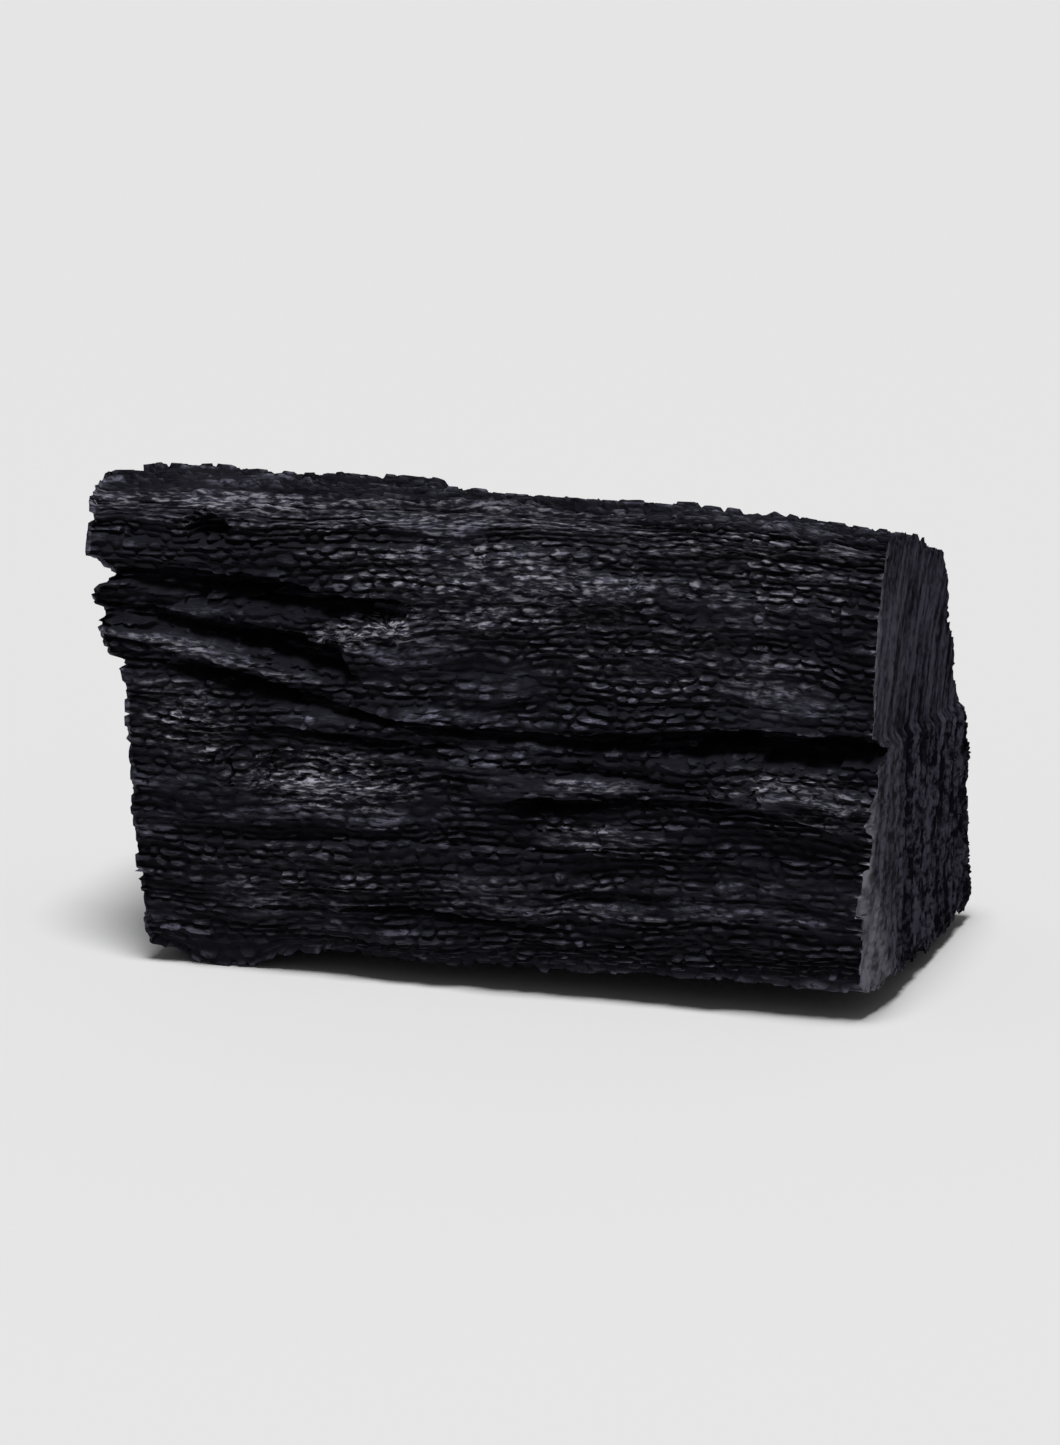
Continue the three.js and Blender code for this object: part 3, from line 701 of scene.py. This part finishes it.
def per_mm(*lengths):
    """Scales that make a pattern one unit long over each of these lengths."""
    return tuple(1 / length for length in lengths)


def new_finish(name):
    """An empty material, and the helper bound to its tree."""
    material = bpy.data.materials.new(name)
    material.use_nodes = True
    material.node_tree.nodes.clear()
    return material, functools.partial(add_node, material.node_tree)


def ring_streaks(node, grain, place, wide, high, detail):
    """A noise in streaks that follow the growth rings, so wide across them and so high."""
    ring = node(SEPARATE, None, (grain,), output="Z")
    ring = node(MATH, DIVIDE, (ring, wide))
    level = node(SEPARATE, None, (place,), output="Z")
    level = node(MATH, DIVIDE, (level, high))
    streaks = node(COMBINE, None, {"X": ring, "Y": level})
    return node(NOISE, None, {"Vector": streaks, "Scale": 1.0, "Detail": detail})


print("a pattern three millimetres long has the scale", round(per_mm(3)[0], 3))

# %% [markdown]
# Charred hardwood: wood baked without air until only its carbon is left. The eye gets near black
# with a soft grey gloss that runs along the fibres, because each is a bundle of thin straight tubes.

# %% Charred hardwood
# Real fibres are some hundredths of a millimetre thick. They are drawn as coarse as they need to show.
THREAD = per_mm(1.4, 0.42, 0.42)
WORN_SPOT = per_mm(2.8, 1.2, 1.2)
FINE_NOISE = {"Scale": 1.0, "Detail": 3.0}

# Where each value starts to count, and where it counts in full. The first three are of a noise.
SPOTS_WORN = {"From Min": 0.45, "From Max": 0.64}
THREADS_PARTED = {"From Min": 0.34, "From Max": 0.46}
THREADS_PALE = {"From Min": 0.48, "From Max": 0.64}
RIDGE_RAISED = {"From Min": -0.95, "From Max": -0.25}  # mm of relief
SPLIT_BLACK = {"From Min": 1.4, "From Max": 4.6}  # mm deep; from here the splits are painted black as shade

TORN_END_WEAR_AND_SHEEN = {"To Min": 0.5, "To Max": 1.0}  # how much wear and painted highlight the torn end gets, as a share of the sides
SHEEN_ON_RIDGE_TOPS = 0.3  # how much the painted highlight also lightens the tops of the ridges
SHEEN_LIFTS_SHADE = 0.3  # how much of the soot and painted shade in their gaps the painted highlight takes away
CHAR_ROUGHNESS = {"To Min": 0.55, "To Max": 0.36}  # unworn and worn
SOOT_ROUGHER = {"To Min": 0.3, "To Max": 0.0}
THREAD_BUMP = {"Strength": 1.0, "Distance": 0.35 * MM}
SILK = {"Metallic": 0.0, "IOR": 1.5, "Specular IOR Level": 0.38, "Specular Tint": COOL_SHEEN}


def charred_hardwood():
    material, node = new_finish("charred_hardwood")
    grain = node(ATTRIBUTE, {"attribute_name": "grain"}, output="Vector")
    relief, side_share, painted_sheen, sunk = (
        node(ATTRIBUTE, {"attribute_name": name}, output="Fac")
        for name in ("relief", "side_share", "worn", "sunk")
    )

    # Threads run along the fibres, and some spots of the surface are worn.
    scaled = [node(VECTOR_MATH, MULTIPLY, (grain, scale)) for scale in (THREAD, WORN_SPOT)]
    threads, spots = (node(NOISE, None, {"Vector": place, **FINE_NOISE}) for place in scaled)
    spots = node(MAP_RANGE, SMOOTHSTEP, {"Value": spots, **SPOTS_WORN})

    # The tops of the ridges are lighter, from wear and as painted highlight, less so on the torn end. Where
    # the painted highlight falls, the threads are pale.
    raised = node(MAP_RANGE, SMOOTHSTEP, {"Value": relief, **RIDGE_RAISED})
    side_reach = node(MAP_RANGE, None, {"Value": side_share, **TORN_END_WEAR_AND_SHEEN})
    worn = node(MATH, MULTIPLY, (painted_sheen, SHEEN_ON_RIDGE_TOPS))
    worn = node(MATH, MAXIMUM, (spots, worn))
    for share in (raised, side_reach):
        worn = node(MATH, MULTIPLY, (worn, share))
    streaked = node(MAP_RANGE, SMOOTHSTEP, {"Value": threads, **THREADS_PALE})
    streaked = node(MATH, MULTIPLY, (streaked, painted_sheen))
    colour = node(MIX, COLOUR, {0: worn, 6: CHAR, 7: CHAR_WORN_AND_LIT}, output=2)
    colour = node(MIX, COLOUR, {0: streaked, 6: colour, 7: PAINTED_SHEEN_GREY}, output=2)

    # The gaps between ridges and between threads are soot black, darkened as painted shade, and the splits
    # are painted black to the floor as shade.
    parted = node(MAP_RANGE, SMOOTHSTEP, {"Value": threads, **THREADS_PARTED})
    bare_and_lit = node(MATH, MULTIPLY_ADD, (painted_sheen, SHEEN_LIFTS_SHADE, raised))
    bare_and_lit = node(MATH, {**MULTIPLY, **CLAMPED}, (bare_and_lit, parted))
    colour = node(MIX, COLOUR, {0: bare_and_lit, 6: SOOT_AND_SHADE, 7: colour}, output=2)
    depth = node(MAP_RANGE, SMOOTHSTEP, {"Value": sunk, **SPLIT_BLACK})
    colour = node(MIX, COLOUR, {0: depth, 6: colour, 7: SOOT_AND_SHADE}, output=2)

    # Worn char is the smoothest. Soot and the depth of a split take the gloss away.
    rough = node(MAP_RANGE, None, {"Value": worn, **CHAR_ROUGHNESS})
    sooty = node(MAP_RANGE, None, {"Value": bare_and_lit, **SOOT_ROUGHER})
    for added in (depth, sooty):
        rough = node(MATH, ADD, (rough, added))
    bump = node("ShaderNodeBump", None, {"Height": threads, **THREAD_BUMP})

    # The eye gets a silky black: a dark base with a soft, faintly blue gloss.
    shader = node("ShaderNodeBsdfPrincipled", None, {
        "Base Color": colour, "Roughness": rough, "Normal": bump, **SILK})
    node("ShaderNodeOutputMaterial", None, {"Surface": shader})
    return material


# %% [markdown]
# Snapped charcoal: the same char, broken across, so no fibre lies in the face to shine. The eye gets
# a dull slate black, with streaks that follow the growth rings and the dots of open pores. The front
# third is smoother and painted paler as a highlight, and below the step a dark seam runs beside it.

# %% Snapped charcoal
STREAK_WIDE = 2.2  # mm across the rings
STREAK_HIGH = 14.0 * MM
PORE = 1.1 * MM  # most pores are a fifth of this or less, and are drawn as coarse as they need to show
BLOTCH = per_mm(1.0 * MM, 1.6 * MM, 6.0 * MM)

PORES_OPEN = {"To Min": 0.45, "To Max": 1.0}  # how strongly pores show, on the smooth and the torn part
NO_PORES = 0.5  # stands for the pores where there are none
MOTTLE_PALE = {"From Min": 0.16, "From Max": 0.35}
BLOTCHES_DARK = {"From Min": 0.42, "From Max": 0.7}
BLOTCH_SHARE, SEAM_SHARE = 0.4, 0.5  # how much of the paleness each takes away
PORES_GRAZED = {"From Min": 0.35, "From Max": 0.6, "To Min": 0.4}
PORE_BUMP = {"Strength": 0.7, "Distance": 0.1 * MM}
SLATE = {"Roughness": 0.7, "Metallic": 0.0, "IOR": 1.5, "Specular IOR Level": 0.0}


def snapped_charcoal():
    material, node = new_finish("snapped_charcoal")
    grain = node(ATTRIBUTE, {"attribute_name": "grain"}, output="Vector")
    torn, seam, painted_sheen = (
        node(ATTRIBUTE, {"attribute_name": name}, output="Fac") for name in ("rough_break", "seam", "worn")
    )
    place = node("ShaderNodeTexCoord", output="Object")

    # Streaks that follow the distance from the pith, broken up by the pores.
    streaks = ring_streaks(node, grain, place, STREAK_WIDE, STREAK_HIGH, 4.0)
    pores = node(NOISE, None, {"Vector": place, "Scale": 1 / PORE, "Detail": 3.0})
    open_share = node(MAP_RANGE, None, {"Value": torn, **PORES_OPEN})
    open_pores = node(MIX, NUMBER, {0: open_share, 2: NO_PORES, 3: pores})
    mottle = node(MATH, MULTIPLY, (streaks, open_pores))
    mottle = node(MAP_RANGE, SMOOTHSTEP, {"Value": mottle, **MOTTLE_PALE})

    # Above the step the break is smooth. Below it the fibres tore, and left dark blotches and a seam.
    blotches = node(VECTOR_MATH, MULTIPLY, (place, BLOTCH))
    blotches = node(NOISE, None, {"Vector": blotches, "Scale": 1.0, "Detail": 5.0})
    blotches = node(MAP_RANGE, SMOOTHSTEP, {"Value": blotches, **BLOTCHES_DARK})
    blotches = node(MATH, MULTIPLY, (blotches, torn))
    seam = node(MATH, MULTIPLY, (seam, SEAM_SHARE))
    dark = node(MATH, MULTIPLY_ADD, (blotches, BLOTCH_SHARE, seam))
    mottle = node(MATH, {**SUBTRACT, **CLAMPED}, (mottle, dark))
    colour = node(MIX, COLOUR, {0: mottle, 6: SNAPPED_DARK, 7: SNAPPED}, output=2)

    # The bevel, the front third and the front edge are painted paler as highlight, in streaks and less so in
    # the pores.
    grazed = node(MAP_RANGE, None, {"Value": pores, **PORES_GRAZED})
    for share in (streaks, grazed):
        painted_sheen = node(MATH, MULTIPLY, (painted_sheen, share))
    colour = node(MIX, COLOUR, {0: painted_sheen, 6: colour, 7: PAINTED_SHEEN_GREY}, output=2)
    bump = node("ShaderNodeBump", None, {"Height": pores, **PORE_BUMP})

    # The eye gets a dull slate black: no gloss at all, or the floor would show in it at a slant.
    shader = node("ShaderNodeBsdfPrincipled", None, {"Base Color": colour, "Normal": bump, **SLATE})
    node("ShaderNodeOutputMaterial", None, {"Surface": shader})
    return material


char = charred_hardwood()
snapped = snapped_charcoal()
print("the finishes have", len(char.node_tree.nodes), "and", len(snapped.node_tree.nodes), "nodes")

# %% [markdown]
# ## Rows of charred fibre
#
# When wood chars it shrinks, and the fibres part in short rows like bricks: ridges a millimetre or
# so wide and a few long, with black gaps between. The pattern covers the whole lump, so Geometry Nodes
# make it. The mesh is pushed in where there is no piece. The same pattern is laid three times: short
# pieces, which cover most of the lump, long ones on the smooth slivers, and broad bundles.

# %% Sizes of the fibres
FIBRE_INPUTS = {  # all in millimetres but the seed
    "Row width": 1.1,
    "Row wander": 3.8,
    "Piece length": 2.9,
    "Gap depth": 1.0,
    "Bundle width": 4.3,
    "Bundle length": 24.0,
    "Bundle depth": 0.45,
    "Long piece length": 38.0,
    "Long gap depth": 0.45,
    "Grit": 0.4,
    "Fibre stump": 0.8,
    "Break relief": 0.7,
    "Seam depth": 0.7,
    "Seed": 4.0,
}

# The lengths over which a pattern changes: along the grain, across it and into the lump.
WANDER_RUN = per_mm(11, 5, 30)
PATCH_RUN = per_mm(21, 7, 30)
GRIT_SIZE = per_mm(1.5, 0.9, 0.9)
BROAD_NOISE = {"Scale": 1.0, "Detail": 2.0}
GRIT_MIDDLE = 0.5  # of its noise
FUSED = {"From Min": 0.36, "From Max": 0.52, "To Min": 0.45}  # patches where the gaps are shallow
STUMP_WIDE = 1.7  # mm
RING_WIDE, RING_HIGH = 0.9, 6.0  # mm across the rings and up the break
RIDGES = {"From Min": 0.35, "From Max": 0.65, "To Min": -1.0, "To Max": 0.0}  # from a noise
SMOOTH_RIDGES = {"To Min": 0.25, "To Max": 1.0}  # how high they are where the break is smooth, and rough
ON_BREAK = 0.99  # the share from which a face is on the break

# The inputs that give each pattern's width, length and depth: short pieces, long ones and bundles.
PATTERNS = (
    ("Row width", "Piece length", "Gap depth"),
    ("Row width", "Long piece length", "Long gap depth"),
    ("Bundle width", "Bundle length", "Bundle depth"),
)
print("the rows of fibre are", FIBRE_INPUTS["Row width"], "mm wide")

# %% [markdown]
# A row is found by dividing the place across the fibres by the row's width, and a piece by dividing
# the place along them by its length. White noise gives each row its own start and each piece its own
# height. A piece narrows to both ends, so the gaps close and open again, as cracks in shrunken wood do.


# %% Rows of pieces
ROW_SHIFT = 19.0  # pieces by which a row may be shifted along the grain
UNEVEN, UNEVEN_RUN = 2.2, 0.8  # how unevenly a row is cut, in pieces, and how fast that changes
LOWEST_PIECE = 0.4  # as a share of the highest
ENDS_REACH, MIDDLE_REACH = 0.2, 0.84  # how much of its row a piece fills, at its ends and in its middle
PIECE_END = 0.3  # the share of its length over which a piece narrows to an end
PIECE_WALL = 0.45  # how much of the row its two sloping sides take


def rows_of_pieces(node, along, across, seed, width, length, salt):
    """From 0 in the gaps between the pieces to 1 on the highest. The salt keeps one pattern's draws apart."""
    counted = node(MATH, DIVIDE, (across, width))
    row = node(MATH, FLOOR, (counted,))
    key = node(COMBINE, None, {"X": row, "Y": seed, "Z": salt})
    shift = node(WHITE_NOISE, None, {"Vector": key})
    shift = node(MATH, MULTIPLY, (shift, ROW_SHIFT))
    place = node(MATH, DIVIDE, (along, length))
    uneven = node(COMBINE, None, {"X": place, "Y": shift, "Z": salt})
    uneven = node(NOISE, None, {"Vector": uneven, "Scale": UNEVEN_RUN, "Detail": 1.0})
    uneven = node(MATH, MULTIPLY, (uneven, UNEVEN))
    for moved in (shift, uneven):
        place = node(MATH, ADD, (place, moved))
    piece = node(MATH, FLOOR, (place,))
    key = node(COMBINE, None, {"X": row, "Y": piece, "Z": salt})
    drawn = node(WHITE_NOISE, None, {"Vector": key})
    drawn = node(MAP_RANGE, None, {"Value": drawn, "To Min": LOWEST_PIECE, "To Max": 1.0})

    # The opening is how far from its centre line a piece reaches, at this place along it.
    from_end = node(MATH, PINGPONG, (place, 0.5))
    opening = node(MAP_RANGE, SMOOTHSTEP, {
        "Value": from_end, "From Max": PIECE_END, "To Min": ENDS_REACH, "To Max": MIDDLE_REACH})
    tight = node(MATH, SUBTRACT, (opening, PIECE_WALL))

    # Off the centre line: 0 on it and 1 where the row meets the next.
    off_centre = node(MATH, PINGPONG, (counted, 0.5))
    off_centre = node(MATH, MULTIPLY_ADD, (off_centre, -2.0, 1.0))
    ridge = node(MAP_RANGE, SMOOTHSTEP, {"Value": off_centre, "From Min": opening, "From Max": tight})
    return node(MATH, MULTIPLY, (ridge, drawn))


print("rows of pieces are laid three times: short, long and in bundles")

# %% [markdown]
# The tree mixes the patterns into one height, in millimetres, and moves each point outward by it. The
# torn end gets stumps of fibre, and the break gets low ridges along the growth rings and a seam. Last
# come the finishes, one for the char and one for the break.


# %% Build the fibre tree
def build_fibre_tree():
    tree = bpy.data.node_groups.new("Charred fibres", "GeometryNodeTree")
    tree.interface.new_socket("Geometry", in_out="INPUT", socket_type="NodeSocketGeometry")
    for name, value in FIBRE_INPUTS.items():
        socket = tree.interface.new_socket(name, in_out="INPUT", socket_type="NodeSocketFloat")
        socket.default_value = value
    tree.interface.new_socket("Geometry", in_out="OUTPUT", socket_type="NodeSocketGeometry")
    given = tree.nodes.new("NodeGroupInput").outputs
    node = functools.partial(add_node, tree)

    grain, outward = (
        node(NAMED_ATTRIBUTE, VECTOR, {"Name": name}, output="Attribute") for name in ("grain", "outward")
    )
    smooth, side_share, torn_share, break_share, rough, seam = (
        node(NAMED_ATTRIBUTE, NUMBER, {"Name": name}, output="Attribute")
        for name in ("smooth", "side_share", "torn_share", "break_share", "rough_break", "seam")
    )
    along, across = (node(SEPARATE, None, (grain,), output=axis) for axis in "XY")
    scaled = [node(VECTOR_MATH, MULTIPLY, (grain, run)) for run in (WANDER_RUN, PATCH_RUN, GRIT_SIZE)]
    wander, patches, grit = (node(NOISE, None, {"Vector": place, **BROAD_NOISE}) for place in scaled)

    # Rows wander by a width or two as they run.
    wander = node(MATH, MULTIPLY, (wander, given["Row wander"]))
    across = node(MATH, ADD, (across, wander))

    # Each pattern is sunk by its own depth where it has no piece.
    rows = functools.partial(rows_of_pieces, node, along, across, given["Seed"])
    sunk = []
    for salt, (width, length, depth) in enumerate(PATTERNS, start=1):
        pieces = rows(given[width], given[length], float(salt))
        gaps = node(MATH, SUBTRACT, (pieces, 1.0))
        sunk.append(node(MATH, MULTIPLY, (gaps, given[depth])))
    short, long, broad = sunk

    # In patches the fibres are fused and their gaps shallow.
    patches = node(MAP_RANGE, SMOOTHSTEP, {"Value": patches, **FUSED})
    short = node(MATH, MULTIPLY, (short, patches))
    side = node(MIX, NUMBER, {0: smooth, 2: short, 3: long})
    grit = node(MATH, SUBTRACT, (grit, GRIT_MIDDLE))
    grit = node(MATH, MULTIPLY, (grit, given["Grit"]))
    for added in (broad, grit):
        side = node(MATH, ADD, (side, added))
    side = node(MATH, MULTIPLY, (side, side_share))

    # On the torn end each fibre stops at its own length.
    position = node("GeometryNodeInputPosition")
    section = node(VECTOR_MATH, MULTIPLY, (position, (0, 1 / STUMP_WIDE, 1 / STUMP_WIDE)))
    stumps = node("ShaderNodeTexVoronoi", None, {"Vector": section, "Scale": 1.0}, output="Color")
    stumps = node(SEPARATE, None, (stumps,), output="X")
    for share in (given["Fibre stump"], torn_share):
        stumps = node(MATH, MULTIPLY, (stumps, share))
    height = node(MATH, ADD, (side, stumps))

    # The break has low ridges that follow the growth rings, higher where it is rough, and a seam.
    rings = ring_streaks(node, grain, position, RING_WIDE, RING_HIGH, 3.0)
    rings = node(MAP_RANGE, SMOOTHSTEP, {"Value": rings, **RIDGES})
    rough = node(MAP_RANGE, None, {"Value": rough, **SMOOTH_RIDGES})
    for share in (given["Break relief"], rough):
        rings = node(MATH, MULTIPLY, (rings, share))
    seam = node(MATH, MULTIPLY, (seam, given["Seam depth"]))
    rings = node(MATH, SUBTRACT, (rings, seam))
    inside = node(MATH, SUBTRACT, (break_share, side_share))
    inside = node(MATH, MAXIMUM, (inside, 0.0))
    rings = node(MATH, MULTIPLY, (rings, inside))
    height = node(MATH, ADD, (height, rings))

    offset = node(VECTOR_MATH, {"operation": "SCALE"}, {0: outward, "Scale": height})
    grown = node("GeometryNodeSetPosition", None, {"Geometry": given["Geometry"], "Offset": offset})
    grown = node("GeometryNodeStoreNamedAttribute", {**NUMBER, "domain": "POINT"}, {
        "Geometry": grown, "Name": "relief", "Value": height})
    grown = node("GeometryNodeRealizeInstances", None, {"Geometry": grown})
    grown = node("GeometryNodeSetMaterial", None, {"Geometry": grown, "Material": char})
    on_break = node("FunctionNodeCompare", NUMBER, (break_share, ON_BREAK))
    grown = node("GeometryNodeSetMaterial", None, {
        "Geometry": grown, "Selection": on_break, "Material": snapped})
    node("NodeGroupOutput", None, {"Geometry": grown})
    return tree


fibre_tree = build_fibre_tree()
print("the fibre tree has", len(fibre_tree.nodes), "nodes")

# %% [markdown]
# On flat ground the mesh is far finer than it needs to be. A Decimate modifier takes faces away where
# the surface hardly turns and leaves them at the gaps and ledges, where the eye looks. Then the
# modified surface is made a plain mesh.

# %% Grow the fibres on the form
KEPT_TRIANGLES = 197000


def grow(name, mesh, tree, values, kept):
    """Runs a tree on a mesh with these values, thins the result and returns it as a plain mesh."""
    carrier = add_object(name, mesh)
    modifier = carrier.modifiers.new(tree.name, "NODES")
    modifier.node_group = tree
    for item in tree.interface.items_tree:
        if item.in_out == "INPUT" and item.name in values:
            modifier[item.identifier] = values[item.name]
    thinning = carrier.modifiers.new("thin", "DECIMATE")
    thinning.ratio = kept / len(mesh.polygons)
    bpy.context.view_layer.update()
    graph = bpy.context.evaluated_depsgraph_get()
    made = bpy.data.meshes.new_from_object(carrier.evaluated_get(graph))
    carrier.modifiers.clear()
    bpy.data.objects.remove(carrier)
    made.name = name
    return made


skin = grow("charcoal_skin", form, fibre_tree, FIBRE_INPUTS, KEPT_TRIANGLES)
grown = np.empty(len(skin.vertices) * 3, np.float32)
skin.vertices.foreach_get("co", grown)
grown = grown.reshape(-1, 3).astype(float)
print(len(skin.vertices), "points and", len(skin.polygons), "triangles kept")

# %% [markdown]
# The solid sets the outer size. The fibres end a hair inside it, so the skin is stretched a little to
# fill the same box, and what would lie below the floor is worn flat.

# %% Fit the skin to the solid's box
CREASE = math.radians(55)

low, high = grown.min(axis=0), grown.max(axis=0)
low[2] = max(low[2], 0.0)
grown[:, 2] = np.maximum(grown[:, 2], low[2])
fitted = lump_low + (grown - low) * (lump_size / (high - low))
skin.vertices.foreach_set("co", fitted.astype(np.float32).ravel())
skin.update()
skin.polygons.foreach_set("use_smooth", np.ones(len(skin.polygons), bool))
skin.set_sharp_from_angle(angle=CREASE)
print("stretched by", np.round(lump_size / MM / (high - low), 4))

# %% [markdown]
# The skin becomes one piece of the finished model. It takes the solid's place and moves with it.

# %% Make the piece
lump = add_object("charcoal_lump_skin", skin)
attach(lump, "root")
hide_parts("charcoal_lump")
print("finishes on the piece:", [material.name for material in skin.materials])

# %% [markdown]
# ## Floor and light
#
# The floor is a sheet of pale matt paper, far wider than the picture, so that no edge shows.

# %% Floor
FLOOR_HALF = 3.0  # m
PAPER_ROUGHNESS = 0.9
floor_mesh = bpy.data.meshes.new("floor")
corners = [(x * FLOOR_HALF, y * FLOOR_HALF, 0) for x, y in ((-1, -1), (1, -1), (1, 1), (-1, 1))]
floor_mesh.from_pydata(corners, [], [(0, 1, 2, 3)])
floor = add_object("floor", floor_mesh)
paper = bpy.data.materials.new("white_paper")
paper.use_nodes = True
paper_shader = paper.node_tree.nodes["Principled BSDF"]
paper_shader.inputs["Base Color"].default_value = linear("#ececec")
paper_shader.inputs["Roughness"].default_value = PAPER_ROUGHNESS
floor_mesh.materials.append(paper)
print("the floor is", 2 * FLOOR_HALF, "m wide")

# %% [markdown]
# The photograph's light falls from above, so one broad light stands high and a little in front. It
# catches the upper sides of the ridges and leaves their undersides and the splits black. A weak white
# sky fills the rest.

# %% Lights
SUN_AZIMUTH, SUN_ELEVATION, SUN_SPREAD = 16, 74, 20  # degrees
SUN_STRENGTH = 2.75
SKY_STRENGTH = 0.12

sun_data = bpy.data.lights.new("overhead", "SUN")
sun_data.angle = math.radians(SUN_SPREAD)
sun_data.energy = SUN_STRENGTH
sun = add_object("overhead", sun_data)
sun.rotation_euler = (math.radians(90 - SUN_ELEVATION), 0, math.radians(SUN_AZIMUTH))

world = bpy.data.worlds.new("studio")
world.use_nodes = True
sky = world.node_tree.nodes["Background"].inputs
sky["Color"].default_value = (1, 1, 1, 1)
sky["Strength"].default_value = SKY_STRENGTH
bpy.context.scene.world = world
bpy.context.scene.view_settings.view_transform = "Standard"
print("light:", sun.name, "at", SUN_STRENGTH, "with a sky at", SKY_STRENGTH)
